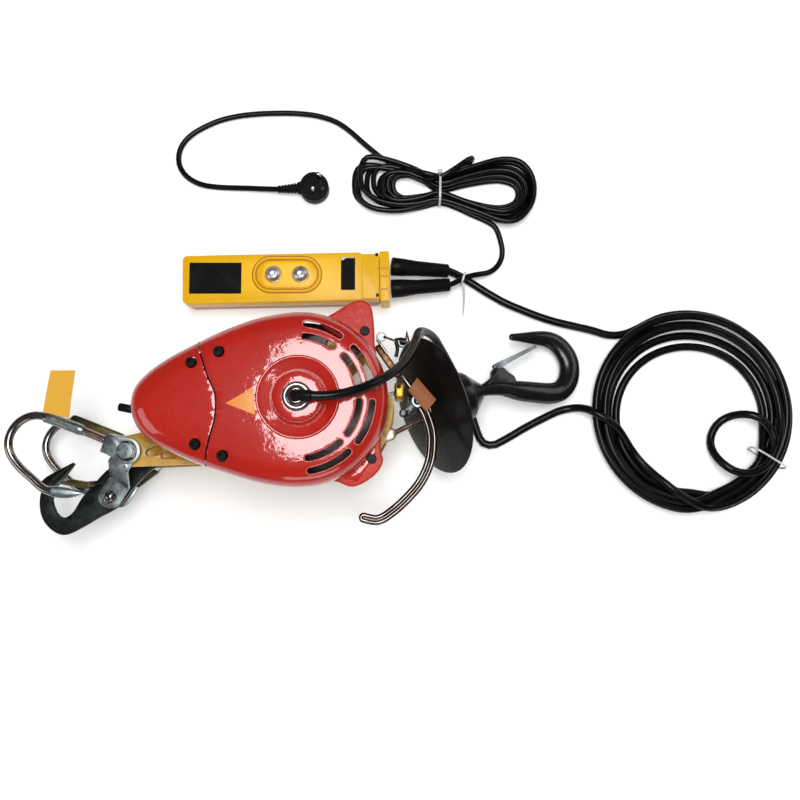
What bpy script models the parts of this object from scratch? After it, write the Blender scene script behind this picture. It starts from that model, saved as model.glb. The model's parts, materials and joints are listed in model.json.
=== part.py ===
"""Electric wire rope hoist with its pendant, hook and cables, lying on its back.

Metres, +Z up. The origin is where the motor and drum axis meets the flat back
face that the hoist lies on. +X runs towards the load hook, +Z out of the cover.
"""
import math

import bmesh
import bpy
from mathutils import Matrix, Vector

# Driving dimensions ---------------------------------------------------------
GAP = 0.0003                 # clearance between pieces that touch
MID_Z = 0.084                # middle plane of drum, rope, hanger and hook
COVER_R = 0.095              # round end of the cover, about the motor axis
COVER_LOW = 0.1465
COVER_TOP = 0.2065
COVER_WALL = 0.0025
FRAME_INSET = 0.006
BACK_Z = (0.0, 0.008)        # gear case cover
CASE_Z = (0.0083, 0.032)     # gear case wall
BACK_PLATE_Z = (0.030, 0.042)
FRONT_PLATE_Z = (0.126, 0.146)
BOSS_BACK_Z = (0.022, 0.042)
BOLT_XY = (-0.193, -0.055)
BOLT_R = 0.005
BOSS_R = 0.0175
COLUMNS = ((0.066, 0.074), (0.076, -0.062), (-0.105, 0.032), (-0.098, -0.048))

DRUM_Z = (0.0465, 0.1215)
DRUM_FLANGE_R = 0.054
DRUM_CORE_R = 0.036
ROPE_R = 0.0025
WOUND_R = 0.048
SHAFT_R = 0.005
GEAR_CENTRES = 0.0448        # motor axis to layshaft
GEAR_TEETH = (12, 36)        # pinion and gear, alike in both stages
GEAR_MODULE = 2 * GEAR_CENTRES / sum(GEAR_TEETH)

HANGER_TURN = math.radians(160)
CHEEK_Z = (0.1500, 0.1545)
HOOP_R = 0.0048
HOOP_Z = 0.138
RIVET_XY = (-0.226, -0.106)
HOOK_PLATE_Z = (0.080, 0.088)
GATE_HINGE = (-0.2440, -0.0905)

ROPE_YAW = math.radians(19)
ROPE_PITCH = math.radians(19.5)
DISC_PITCH = math.radians(25)
DISC_CENTRE = (0.1445, 0.0, 0.0785)
HOOK_SHANK_R = 0.0075
HOOK_FLATNESS = 0.72
DISC_R = 0.083

LEVER_PIVOT = (0.128, 0.004)
LEVER_Z = 0.105
LEVER_ROD_R = 0.003

PENDANT_TURN = math.radians(1.2)
PENDANT_CENTRE = (-0.040, 0.1625)
PENDANT_SIZE = (0.244, 0.061)
PENDANT_SPLIT_Z = 0.022
PENDANT_TOP_Z = 0.048
BUTTON_X = (-0.049, -0.0155)
BUTTON_Y = 0.1665
BUTTON_R = 0.0105

MAINS_R = 0.0035
CONTROL_R = 0.005
COIL_CENTRE = (0.4745, -0.0015)
COIL_R = (0.088, 0.131)
COIL_H = 0.026
HANK_H = 0.024

# Left side of the cover's outline, from its round end at the top to the bottom
NOSE_POINTS = (
    (-0.0250, 0.0925), (-0.0510, 0.0867), (-0.0840, 0.0742), (-0.1140, 0.0600),
    (-0.1425, 0.0446), (-0.1640, 0.0290), (-0.1775, 0.0135), (-0.1820, -0.0030),
    (-0.1800, -0.0190), (-0.1715, -0.0345), (-0.1570, -0.0475), (-0.1300, -0.0612),
    (-0.1050, -0.0712), (-0.0800, -0.0795), (-0.0500, -0.0885), (-0.0250, -0.0935),
)
SEAM = ((-0.107, 0.080), (-0.1085, 0.0565), (-0.103, 0.042), (-0.096, 0.022),
        (-0.088, 0.005), (-0.0865, -0.008), (-0.088, -0.025), (-0.094, -0.046),
        (-0.0997, -0.072), (-0.104, -0.090))
COVER_SCREWS = ((-0.113, 0.037), (-0.084, 0.0485), (-0.1075, -0.0495), (-0.0786, -0.0617))
EAR_SCREWS = ((0.069, 0.076), (0.077, -0.064))
VENT_RADII = (0.0650, 0.0785)
VENT_SPANS = ((53, 87), (9, 45), (-39, -1), (-83, -44))
VENT_WIDTH = 0.0064

# Routes of the cords: hand-placed points, smoothed into one curve each
MAINS_ROUTE = (
    (0.1726, 0.1605, 0.0196), (0.1800, 0.1640, 0.0184), (0.1910, 0.1700, 0.0168),
    (0.2020, 0.1735, 0.0150), (0.2120, 0.1758, 0.0115), (0.2240, 0.1800, 0.0060),
    (0.2345, 0.1895, 0.0038), (0.2395, 0.2030, 0.0037), (0.2380, 0.2190, 0.0037),
    (0.2345, 0.2300, 0.0037), (0.2310, 0.2385, 0.0037),
)
TAIL_ROUTE = (
    (0.0870, 0.3290, 0.0037), (0.0780, 0.3355, 0.0037), (0.0600, 0.3510, 0.0037),
    (0.0410, 0.3680, 0.0037), (0.0230, 0.3800, 0.0037), (0.0000, 0.3875, 0.0037),
    (-0.0250, 0.3908, 0.0037), (-0.0520, 0.3913, 0.0037), (-0.0800, 0.3902, 0.0037),
    (-0.1068, 0.3868, 0.0037), (-0.1290, 0.3810, 0.0037), (-0.1480, 0.3725, 0.0037),
    (-0.1640, 0.3625, 0.0037), (-0.1755, 0.3500, 0.0037), (-0.1805, 0.3365, 0.0037),
    (-0.1800, 0.3230, 0.0037), (-0.1740, 0.3110, 0.0037), (-0.1640, 0.3020, 0.0037),
    (-0.1500, 0.2955, 0.0037), (-0.1330, 0.2925, 0.0037), (-0.1130, 0.2912, 0.0038),
    (-0.0920, 0.2905, 0.0045), (-0.0700, 0.2888, 0.0070), (-0.0490, 0.2872, 0.0100),
)
CONTROL_ROUTE = (
    (0.1714, 0.1787, 0.0126), (0.1790, 0.1760, 0.0095), (0.1910, 0.1705, 0.0058),
    (0.2060, 0.1610, 0.0052), (0.2220, 0.1508, 0.0052), (0.2420, 0.1395, 0.0052),
    (0.2640, 0.1300, 0.0052), (0.2850, 0.1217, 0.0052), (0.3070, 0.1147, 0.0052),
    (0.3310, 0.1090, 0.0052), (0.3540, 0.1035, 0.0052), (0.3700, 0.0985, 0.0052),
    (0.3805, 0.0946, 0.0052),
)
GLAND_ROUTE = (
    (0.3425, 0.0020, 0.0052), (0.3350, 0.0040, 0.0052), (0.3230, 0.0034, 0.0052),
    (0.3094, 0.0002, 0.0052), (0.2959, -0.0058, 0.0052), (0.2818, -0.0128, 0.0052),
    (0.2668, -0.0207, 0.0052), (0.2519, -0.0294, 0.0052), (0.2382, -0.0372, 0.0052),
    (0.2250, -0.0430, 0.0052), (0.2125, -0.0400, 0.0052), (0.2060, -0.0285, 0.0052),
    (0.2010, -0.0130, 0.0052), (0.1950, 0.0050, 0.0052), (0.1870, 0.0250, 0.0055),
    (0.1780, 0.0440, 0.0085), (0.1680, 0.0620, 0.0180), (0.1580, 0.0765, 0.0340),
    (0.1490, 0.0865, 0.0550), (0.1385, 0.0892, 0.0800), (0.1300, 0.0855, 0.1050),
    (0.1262, 0.0740, 0.1290), (0.1210, 0.0580, 0.1510), (0.1125, 0.0415, 0.1735),
    (0.1010, 0.0280, 0.1950), (0.0860, 0.0165, 0.2135), (0.0690, 0.0075, 0.2245),
    (0.0500, 0.0015, 0.2300), (0.0320, -0.0015, 0.2335), (0.0185, -0.0015, 0.2348),
)
ROPE_ROUTE = (
    (0.0340, -0.0380, 0.0840), (0.0500, -0.0245, 0.0840), (0.0680, -0.0090, 0.0840),
    (0.0850, 0.0065, 0.0840), (0.0960, 0.0140, 0.0840), (0.1060, 0.0155, 0.0838),
    (0.1180, 0.0120, 0.0830), (0.1300, 0.0060, 0.0810), (0.1400, 0.0015, 0.0795),
    (0.1445, 0.0000, 0.0785), (0.1508, 0.0020, 0.0762),
)

FINISHES = {                 # colour, roughness, metallic
    "red_paint": ((0.55, 0.022, 0.012), 0.22, 0.0),
    "yellow_casting": ((0.62, 0.36, 0.03), 0.45, 0.0),
    "yellow_plastic": ((0.85, 0.50, 0.01), 0.30, 0.0),
    "black_rubber": ((0.012, 0.012, 0.013), 0.50, 0.0),
    "black_paint": ((0.010, 0.010, 0.011), 0.28, 0.0),
    "zinc_plate": ((0.55, 0.58, 0.60), 0.35, 0.9),
    "chrome": ((0.75, 0.75, 0.76), 0.12, 1.0),
    "dark_steel": ((0.10, 0.105, 0.11), 0.45, 0.7),
    "bronze": ((0.32, 0.18, 0.10), 0.40, 0.8),
    "brass": ((0.75, 0.50, 0.12), 0.30, 0.9),
    "copper": ((0.60, 0.25, 0.12), 0.45, 0.8),
    "wire": ((0.45, 0.45, 0.44), 0.40, 0.9),
}


# Scene and materials --------------------------------------------------------
def clear_scene():
    for obj in list(bpy.data.objects):
        bpy.data.objects.remove(obj, do_unlink=True)


def new_collection(name):
    found = bpy.data.collections.new(name)
    bpy.context.scene.collection.children.link(found)
    return found


clear_scene()
PARTS = new_collection("wire_rope_hoist")
CUTTERS = new_collection("cutters")


def material(finish):
    found = bpy.data.materials.get(finish)
    if found:
        return found
    colour, roughness, metallic = FINISHES[finish]
    made = bpy.data.materials.new(finish)
    made.use_nodes = True
    shader = made.node_tree.nodes["Principled BSDF"]
    shader.inputs["Base Color"].default_value = (*colour, 1.0)
    shader.inputs["Roughness"].default_value = roughness
    shader.inputs["Metallic"].default_value = metallic
    return made


# Point and outline helpers --------------------------------------------------
def polar(radius, degrees, centre=(0.0, 0.0)):
    angle = math.radians(degrees)
    return (centre[0] + radius * math.cos(angle), centre[1] + radius * math.sin(angle))


def catmull(before, start, end, after, t):
    """A point between start and end on the smooth curve through all four."""
    a, b, c, d = (Vector(p) for p in (before, start, end, after))
    return 0.5 * ((2 * b) + (c - a) * t + (2 * a - 5 * b + 4 * c - d) * t ** 2
                  + (3 * b - a - 3 * c + d) * t ** 3)


def smooth_loop(points, per_span):
    count = len(points)
    return [catmull(points[i - 1], points[i], points[(i + 1) % count],
                    points[(i + 2) % count], step / per_span)
            for i in range(count) for step in range(per_span)]


def smooth_route(points, spacing):
    """Evenly spaced points along the smooth curve through the given ones."""
    guide = [points[0], *points, points[-1]]
    fine = [catmull(*guide[i:i + 4], step / 12)
            for i in range(len(points) - 1) for step in range(12)]
    fine.append(Vector(points[-1]))
    lengths = [0.0]
    for here, there in zip(fine, fine[1:]):
        lengths.append(lengths[-1] + (there - here).length)
    count = max(2, round(lengths[-1] / spacing))
    route, index = [], 0
    for step in range(count + 1):
        target = lengths[-1] * step / count
        while index < len(fine) - 2 and lengths[index + 1] < target:
            index += 1
        span = lengths[index + 1] - lengths[index]
        route.append(fine[index].lerp(fine[index + 1], (target - lengths[index]) / span))
    return route


def inset(outline, distance):
    """The outline moved inwards; it must run anticlockwise."""
    moved = []
    for i, point in enumerate(outline):
        along = Vector(outline[(i + 1) % len(outline)]) - Vector(outline[i - 1])
        along.normalize()
        moved.append(Vector(point) + Vector((-along.y, along.x)) * distance)
    return moved


def cover_outline():
    round_end = [polar(COVER_R, angle) for angle in range(-90, 91, 15)]
    return smooth_loop([Vector(p) for p in (*round_end, *NOSE_POINTS)], 2)


def stadium(start, end, radius_start, radius_end, steps=12):
    """Two round ends joined by straight sides, anticlockwise."""
    heading = math.degrees(math.atan2(end[1] - start[1], end[0] - start[0]))
    points = [polar(radius_end, heading - 90 + 180 * i / steps, end) for i in range(steps + 1)]
    points += [polar(radius_start, heading + 90 + 180 * i / steps, start)
               for i in range(steps + 1)]
    return points


def arc_slot(radius, low, high, width, steps=5):
    """A slot along an arc about the origin, with round ends."""
    outer = [polar(radius + width / 2, low + (high - low) * i / steps)
             for i in range(steps + 1)]
    inner = [polar(radius - width / 2, high - (high - low) * i / steps)
             for i in range(steps + 1)]
    cap_high = [polar(width / 2, high + 45 * i, polar(radius, high)) for i in range(1, 4)]
    cap_low = [polar(width / 2, low + 180 + 45 * i, polar(radius, low)) for i in range(1, 4)]
    return outer + cap_high + inner + cap_low


def sector(inner, outer, low, high, steps=8):
    points = [polar(outer, low + (high - low) * i / steps) for i in range(steps + 1)]
    points += [polar(inner, high - (high - low) * i / steps) for i in range(steps + 1)]
    return points


def gear_outline(teeth, module):
    """Straight-flanked teeth about the origin; a tooth is centred on +X."""
    pitch = teeth * module / 2
    radii = (pitch - 1.15 * module, pitch - 1.15 * module, pitch + module, pitch + module)
    offsets = (-0.31, -0.69, -0.11, 0.11)
    corners = ((radii[0], offsets[0]), (radii[2], offsets[2]),
               (radii[3], offsets[3]), (radii[1], -offsets[0]))
    step = 360 / teeth
    return [polar(radius, (tooth + offset) * step)
            for tooth in range(teeth) for radius, offset in corners]


# Object helpers -------------------------------------------------------------
def add_object(name, data, finish, home=None):
    obj = bpy.data.objects.new(name, data)
    (home or PARTS).objects.link(obj)
    if finish:
        data.materials.append(material(finish))
    return obj


def add_mesh(name, mesh_maker, finish, home=None, matrix=None):
    mesh = bpy.data.meshes.new(name)
    if matrix is not None:
        mesh_maker.transform(matrix)
    mesh_maker.normal_update()
    mesh_maker.to_mesh(mesh)
    mesh_maker.free()
    mesh.shade_smooth()
    mesh.set_sharp_from_angle(angle=math.radians(35))
    return add_object(name, mesh, finish, home)


def box(name, low, high, finish, matrix=None, home=None):
    maker = bmesh.new()
    bmesh.ops.create_cube(maker, size=1.0)
    size = Vector(high) - Vector(low)
    bmesh.ops.scale(maker, vec=size, verts=maker.verts)
    bmesh.ops.translate(maker, vec=Vector(low) + size / 2, verts=maker.verts)
    return add_mesh(name, maker, finish, home, matrix)


def along(start, end):
    """A matrix that lays +Z from start to end, centred between them."""
    start, end = Vector(start), Vector(end)
    turn = (end - start).to_track_quat("Z", "Y").to_matrix().to_4x4()
    return Matrix.Translation((start + end) / 2) @ turn


def cylinder(name, start, end, radius, finish, end_radius=None, sides=24, home=None):
    maker = bmesh.new()
    length = (Vector(end) - Vector(start)).length
    bmesh.ops.create_cone(maker, cap_ends=True, segments=sides, radius1=radius,
                          radius2=radius if end_radius is None else end_radius,
                          depth=length)
    return add_mesh(name, maker, finish, home, along(start, end))


def post(name, xy, low, high, radius, finish, sides=24, home=None):
    return cylinder(name, (*xy, low), (*xy, high), radius, finish, sides=sides, home=home)


def as_mesh(obj, matrix=None):
    """A curve made a mesh, with its loose caps welded."""
    graph = bpy.context.evaluated_depsgraph_get()
    mesh = bpy.data.meshes.new_from_object(obj.evaluated_get(graph))
    maker = bmesh.new()
    maker.from_mesh(mesh)
    bmesh.ops.remove_doubles(maker, verts=maker.verts, dist=0.00001)
    maker.to_mesh(mesh)
    maker.free()
    if matrix is not None:
        mesh.transform(matrix)
    name, home, place = obj.name, obj.users_collection[0], obj.matrix_world.copy()
    bpy.data.objects.remove(obj, do_unlink=True)
    mesh.shade_smooth()
    mesh.set_sharp_from_angle(angle=math.radians(35))
    made = bpy.data.objects.new(name, mesh)
    made.matrix_world = place
    home.objects.link(made)
    return made


def plate(name, outline, z_range, finish, matrix=None, home=None):
    """A flat outline in XY given its thickness between two heights."""
    curve = bpy.data.curves.new(name, "CURVE")
    curve.dimensions = "2D"
    curve.fill_mode = "BOTH"
    curve.extrude = (z_range[1] - z_range[0]) / 2
    spline = curve.splines.new("POLY")
    spline.points.add(len(outline) - 1)
    for point, place in zip(spline.points, outline):
        point.co = (place[0], place[1], 0.0, 1.0)
    spline.use_cyclic_u = True
    obj = add_object(name, curve, finish, home)
    obj.location.z = (z_range[0] + z_range[1]) / 2
    bpy.context.view_layer.update()
    return as_mesh(obj, matrix)


def turned(name, profile, finish, centre=(0.0, 0.0, 0.0), steps=40, closed=True,
           matrix=None, home=None):
    """A profile of (radius, height) points turned about its own Z axis."""
    maker = bmesh.new()
    verts = [maker.verts.new((radius, 0.0, height)) for radius, height in profile]
    for here, there in zip(verts, verts[1:]):
        maker.edges.new((here, there))
    if closed:
        maker.edges.new((verts[-1], verts[0]))
    obj = add_mesh(name, maker, finish, home)
    obj.matrix_world = matrix if matrix is not None else Matrix.Translation(centre)
    screw = obj.modifiers.new("turn", "SCREW")
    screw.steps = screw.render_steps = steps
    screw.use_merge_vertices = True
    screw.merge_threshold = 0.00001
    return obj


def ring(name, inner, outer, z_range, finish, centre=(0.0, 0.0), steps=32):
    profile = [(outer, z_range[1]), (outer, z_range[0]), (inner, z_range[0]),
               (inner, z_range[1])]
    return turned(name, profile, finish, (*centre, 0.0), steps)


def tube(name, points, radius, finish, radii=None, resolution=2, home=None):
    curve = bpy.data.curves.new(name, "CURVE")
    curve.dimensions = "3D"
    curve.bevel_depth = radius
    curve.bevel_resolution = resolution
    curve.use_fill_caps = True
    spline = curve.splines.new("POLY")
    spline.points.add(len(points) - 1)
    for i, (point, place) in enumerate(zip(spline.points, points)):
        point.co = (*place, 1.0)
        point.radius = radii[i] if radii else 1.0
    return add_object(name, curve, finish, home)


def loft(name, rings, finish, matrix=None, home=None, capped=True):
    """Skin between closed rings of equal length, first to last."""
    maker = bmesh.new()
    rows = [[maker.verts.new(point) for point in row] for row in rings]
    for below, above in zip(rows, rows[1:]):
        for i in range(len(below)):
            j = (i + 1) % len(below)
            maker.faces.new((below[i], below[j], above[j], above[i]))
    if capped:
        maker.faces.new(list(reversed(rows[0])))
    maker.faces.new(rows[-1])
    return add_mesh(name, maker, finish, home, matrix)


def combine(obj, other, operation):
    """A Boolean with a guide object, which moves to the cutters."""
    if other.name not in CUTTERS.objects:
        PARTS.objects.unlink(other)
        CUTTERS.objects.link(other)
    other.hide_render = True
    other.display_type = "WIRE"
    step = obj.modifiers.new(operation.lower(), "BOOLEAN")
    step.operation = operation
    step.solver = "EXACT"
    step.object = other
    return obj


def cut(obj, *cutters):
    for cutter in cutters:
        combine(obj, cutter, "DIFFERENCE")
    return obj


def join(obj, *others):
    for other in others:
        combine(obj, other, "UNION")
    return obj


def cutter_post(name, xy, low, high, radius, sides=24):
    return post(name, xy, low, high, radius, None, sides, CUTTERS)


def bevelled(obj, width, segments=2, angle=40):
    step = obj.modifiers.new("edges", "BEVEL")
    step.width = width
    step.segments = segments
    step.limit_method = "ANGLE"
    step.angle_limit = math.radians(angle)
    return obj


def place(turn, centre):
    return Matrix.Translation(centre) @ Matrix.Rotation(turn, 4, "Z")


def rope_frame(pitch, centre=DISC_CENTRE):
    """Local +X down the rope towards the hook, +Z up out of the hook's plane."""
    return (Matrix.Translation(centre) @ Matrix.Rotation(ROPE_YAW, 4, "Z")
            @ Matrix.Rotation(pitch, 4, "Y"))


LAY_ON_X = Matrix.Rotation(math.radians(90), 4, "Y")   # turned Z axis onto +X


# Frame and gear case --------------------------------------------------------
def frame_outline():
    """Plate under the cover, with pads under its two ears."""
    return inset(cover_outline(), FRAME_INSET)


def window_cutters():
    """Openings of the frame plates, under the upper right vents."""
    wide = plate("window_wide", sector(0.0575, 0.086, 6, 45), (-0.01, 0.16), None,
                 home=CUTTERS)
    small = plate("window_small", sector(0.0575, 0.084, 56, 70), (-0.01, 0.16), None,
                  home=CUTTERS)
    return wide, small


def hanger_arm(name, z_range):
    """Arm from the plate to the hanger bolt, as a flat outline."""
    tip = Vector(BOLT_XY)
    points = stadium(tip, (-0.120, -0.045), BOSS_R, 0.024)
    return plate(name, points, z_range, None, home=CUTTERS)


def ear_pads(name, z_range):
    pads = []
    for i, centre in enumerate(COLUMNS[:2]):
        heading = math.degrees(math.atan2(centre[1], centre[0]))
        start = polar(0.060, heading)
        points = stadium(start, centre, 0.009, 0.011, 10)
        pads.append(plate(f"{name}_{i}", points, z_range, None, home=CUTTERS))
    return pads


def right_strip(name, z_range):
    """Rim of the plate that shows past the cover on its right side."""
    return plate(name, sector(0.075, 0.1005, -34, 3), z_range, None, home=CUTTERS)


def build_frames(wide, small):
    bolt_hole = cutter_post("bolt_hole", BOLT_XY, -0.01, 0.17, BOLT_R + GAP)
    column_holes = [cutter_post(f"column_hole_{i}", xy, -0.01, 0.17, 0.0030)
                    for i, xy in enumerate(COLUMNS)]
    front = plate("front_frame", frame_outline(), FRONT_PLATE_Z, "yellow_casting")
    cut(front, wide, small)
    columns = [cutter_post(f"tie_column_{i}", xy, BACK_PLATE_Z[1] + GAP,
                           FRONT_PLATE_Z[0] + 0.0050, 0.0075, 16)
               for i, xy in enumerate(COLUMNS)]
    join(front, *columns, hanger_arm("front_arm", (FRONT_PLATE_Z[0] + 0.0007, FRONT_PLATE_Z[1] - 0.0004)),
         *ear_pads("front_pad", (FRONT_PLATE_Z[0] + 0.0011, FRONT_PLATE_Z[1] - 0.0008)),
         right_strip("front_strip", (FRONT_PLATE_Z[0] + 0.0023, FRONT_PLATE_Z[1] - 0.0027)))
    pockets = [plate(f"arm_pocket_{i}", stadium(a, b, r, r + 0.001, 6), (0.138, 0.150), None,
                     home=CUTTERS)
               for i, (a, b, r) in enumerate((
                   ((-0.1705, -0.0565), (-0.1615, -0.0545), 0.0045),
                   ((-0.1545, -0.0600), (-0.1440, -0.0590), 0.0035)))]
    cut(front, bolt_hole, *column_holes, *pockets,
        cutter_post("front_bearing_hole", (0, 0), 0.12, 0.15, 0.0165))

    back = plate("back_frame", frame_outline(), BACK_PLATE_Z, "yellow_casting")
    cut(back, wide, small)
    wall = plate("gear_case_wall", stadium((-GEAR_CENTRES, 0), (0, 0), 0.042, 0.046, 12),
                 (CASE_Z[0], CASE_Z[1]), None, home=CUTTERS)
    hollow = plate("gear_case_hollow", stadium((-GEAR_CENTRES, 0), (0, 0), 0.038, 0.042, 12),
                   (CASE_Z[0] - 0.002, BACK_PLATE_Z[0] - 0.0004), None, home=CUTTERS)
    join(back, wall, hanger_arm("back_arm", BOSS_BACK_Z),
         *ear_pads("back_pad", (BACK_PLATE_Z[0] + 0.0011, BACK_PLATE_Z[1] - 0.0008)),
         right_strip("back_strip", (BACK_PLATE_Z[0] + 0.0023, BACK_PLATE_Z[1] - 0.0027)))
    cut(back, hollow, bolt_hole, *column_holes,
        cutter_post("drum_hub_hole", (0, 0), 0.02, 0.05, 0.0175))

    lid = plate("gear_case_cover", stadium((-GEAR_CENTRES, 0), (0, 0), 0.046, 0.052, 14),
                BACK_Z, "yellow_casting")
    bevelled(lid, 0.002, 2, 60)
    join(lid, cutter_post("layshaft", (-GEAR_CENTRES, 0), BACK_Z[1] - 0.002,
                          BACK_PLATE_Z[0] - 0.0007, 0.0041, 20))
    return bolt_hole


# Drive ----------------------------------------------------------------------
def build_drive():
    low, high = DRUM_Z
    web = 0.0045
    profile = [
        (DRUM_FLANGE_R, high), (DRUM_FLANGE_R, high - 0.003), (DRUM_CORE_R, high - 0.003),
        (DRUM_CORE_R, low + 0.003), (DRUM_FLANGE_R, low + 0.003), (DRUM_FLANGE_R, low),
        (0.0168, low), (0.0168, 0.0292), (0.0140, 0.0292), (0.0140, 0.0205),
        (SHAFT_R + 0.0005, 0.0205), (SHAFT_R + 0.0005, low + web), (0.0330, low + web),
        (0.0330, high),
    ]
    turned("drum", profile, "dark_steel", steps=32)
    ring("wound_rope", DRUM_CORE_R + GAP, WOUND_R, (low + 0.0036, high - 0.0036), "wire")

    pinion_teeth, gear_teeth = GEAR_TEETH
    drum_gear = plate("drum_gear", gear_outline(gear_teeth, GEAR_MODULE), (0.0208, 0.0280),
                      "dark_steel")
    cut(drum_gear, cutter_post("drum_gear_bore", (0, 0), 0.0, 0.05, 0.0140 + GAP))

    layshaft = (-GEAR_CENTRES, 0, 0)
    gear = plate("counter_gear", gear_outline(gear_teeth, GEAR_MODULE), (0.0115, 0.0178),
                 "dark_steel", place(math.radians(180 / gear_teeth), layshaft))
    join(gear, plate("counter_pinion", gear_outline(pinion_teeth, GEAR_MODULE),
                     (0.0170, 0.0285), None,
                     place(math.radians(180 / pinion_teeth), layshaft), CUTTERS))
    cut(gear, cutter_post("counter_bore", (-GEAR_CENTRES, 0), 0.0, 0.05, 0.0045))

    rotor = post("rotor", (0, 0), 0.0095, 0.1740, SHAFT_R, "chrome", 20)
    join(rotor, plate("rotor_pinion", gear_outline(pinion_teeth, GEAR_MODULE), (0.0117, 0.0180),
                      None, home=CUTTERS),
         cutter_post("rotor_core", (0, 0), 0.0600, 0.1120, 0.0180, 32))
    ring("motor_stator", 0.0188, 0.0318, (0.0560, 0.1257), "copper")
    ring("front_bearing", SHAFT_R + GAP, 0.0162, (0.1300, 0.1420), "chrome")
    blades = []
    for i in range(9):
        blades += [polar(0.020, 40 * i - 15), polar(0.046, 40 * i - 4),
                   polar(0.050, 40 * i + 4), polar(0.022, 40 * i + 6)]
    fan = plate("cooling_fan", blades, (0.1550, 0.1700), "black_paint")
    cut(fan, cutter_post("fan_bore", (0, 0), 0.14, 0.18, SHAFT_R + GAP))


# Cover ----------------------------------------------------------------------
def ear(name, points):
    return plate(name, smooth_loop([Vector(p) for p in points], 2), (0.1545, 0.1680), None,
                 home=CUTTERS)


def build_cover():
    outline = cover_outline()
    centre = Vector((-0.030, 0.0))
    rows = [(0.0, COVER_LOW), (0.0, 0.1800), (0.0022, 0.1892), (0.0085, 0.1970),
            (0.0205, 0.2022)]
    rings = [[(*p, z) for p in inset(outline, distance)] for distance, z in rows]
    last = inset(outline, rows[-1][0])
    for scale, z in ((0.72, 0.2053), (0.30, COVER_TOP)):
        rings.append([(*(centre + (Vector(p) - centre) * scale), z) for p in last])
    main = loft("main_cover", rings, "red_paint", capped=False)
    wall = main.modifiers.new("wall", "SOLIDIFY")
    wall.thickness = COVER_WALL
    wall.offset = -1
    nose = main.copy()
    nose.data = main.data.copy()
    nose.name = "nose_cover"
    PARTS.objects.link(nose)

    left_side = [(-0.30, -0.13), *reversed(SEAM), (-0.107, 0.13), (-0.30, 0.13)]
    right_side = [(x + 0.0007, y) for x, y in left_side]
    seam_right = plate("seam_right", right_side, (0.12, 0.24), None, home=CUTTERS)
    seam_left = plate("seam_left", left_side, (0.12, 0.24), None, home=CUTTERS)
    combine(nose, seam_left, "INTERSECT")
    cut(main, seam_right)

    upper_ear = ((0.020, 0.0860), (0.038, 0.0985), (0.0540, 0.1082), (0.0668, 0.1105),
                 (0.0755, 0.1035), (0.0785, 0.0880), (0.0795, 0.0650), (0.0800, 0.0450),
                 (0.0550, 0.0600), (0.0300, 0.0750))
    lower_ear = ((0.0860, -0.0360), (0.0862, -0.0530), (0.0885, -0.0690), (0.0770, -0.0840),
                 (0.0570, -0.0942), (0.0400, -0.0890), (0.0250, -0.0860), (0.0400, -0.0700),
                 (0.0600, -0.0550), (0.0750, -0.0400))
    hollow = loft("cover_hollow", [[(*p, z) for p in inset(outline, distance)]
                                   for distance, z in ((0.004, 0.14), (0.004, 0.1690))],
                  None, home=CUTTERS)
    join(main, ear("upper_ear", upper_ear), ear("lower_ear", tuple(reversed(lower_ear))))
    cut(main, hollow)
    boss = turned("cover_boss", [
        (0.0125, 0.2130), (0.0240, 0.2130), (0.0268, 0.2110), (0.0275, 0.2052),
        (0.0400, 0.2052), (0.0412, 0.2080), (0.0440, 0.2074), (0.0440, 0.2010),
        (0.0125, 0.2010)], None, steps=36, home=CUTTERS)
    cut(main, cutter_post("boss_hole", (0, 0), 0.19, 0.22, 0.0420, 36))
    join(main, boss)
    for i, (low, high) in enumerate(VENT_SPANS):
        for j, radius in enumerate(VENT_RADII):
            slot = arc_slot(radius, low + 3, high - 3, VENT_WIDTH)
            cut(main, plate(f"vent_{i}_{j}", slot, (0.19, 0.22), None, home=CUTTERS))
    for i, xy in enumerate(COVER_SCREWS):
        owner = nose if i in (0, 2) else main
        cut(owner, cutter_post(f"cover_screw_hole_{i}", xy, 0.19, 0.22, 0.0058))
        post(f"cover_screw_{i + 1}", xy, 0.1463, 0.2075, 0.0054, "black_paint", 16)
    for i, xy in enumerate(EAR_SCREWS):
        cut(main, cutter_post(f"ear_screw_hole_{i}", xy, 0.14, 0.19, 0.0056, 16))
        post(f"ear_screw_{i + 1}", xy, 0.1463, 0.1705, 0.0052, "black_paint", 16)
    cylinder("nose_stud", (-0.1835, -0.0105, 0.1690), (-0.1985, -0.0075, 0.1690), 0.0045,
             "black_rubber", sides=16)


def build_gland():
    """Chrome cable gland on the motor axis, with its elbowed nut."""
    turned("gland_body", [(0.0120, 0.2155), (0.0120, 0.2010), (0.0062, 0.2010),
                          (0.0062, 0.2155)], "chrome", steps=24)
    cylinder("gland_nut", (0, 0, 0.2160), (0, 0, 0.2225), 0.0112, "chrome", 0.0098, 24)
    elbow = smooth_route(((0.0, 0.0, 0.2229), (0.0002, 0.0, 0.2262), (0.0022, -0.0002, 0.2308),
                          (0.0080, -0.0010, 0.2343), (0.0172, -0.0015, 0.2350)), 0.0035)
    tube("cable_elbow", elbow, 0.0060, "black_rubber", resolution=3)


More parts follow.
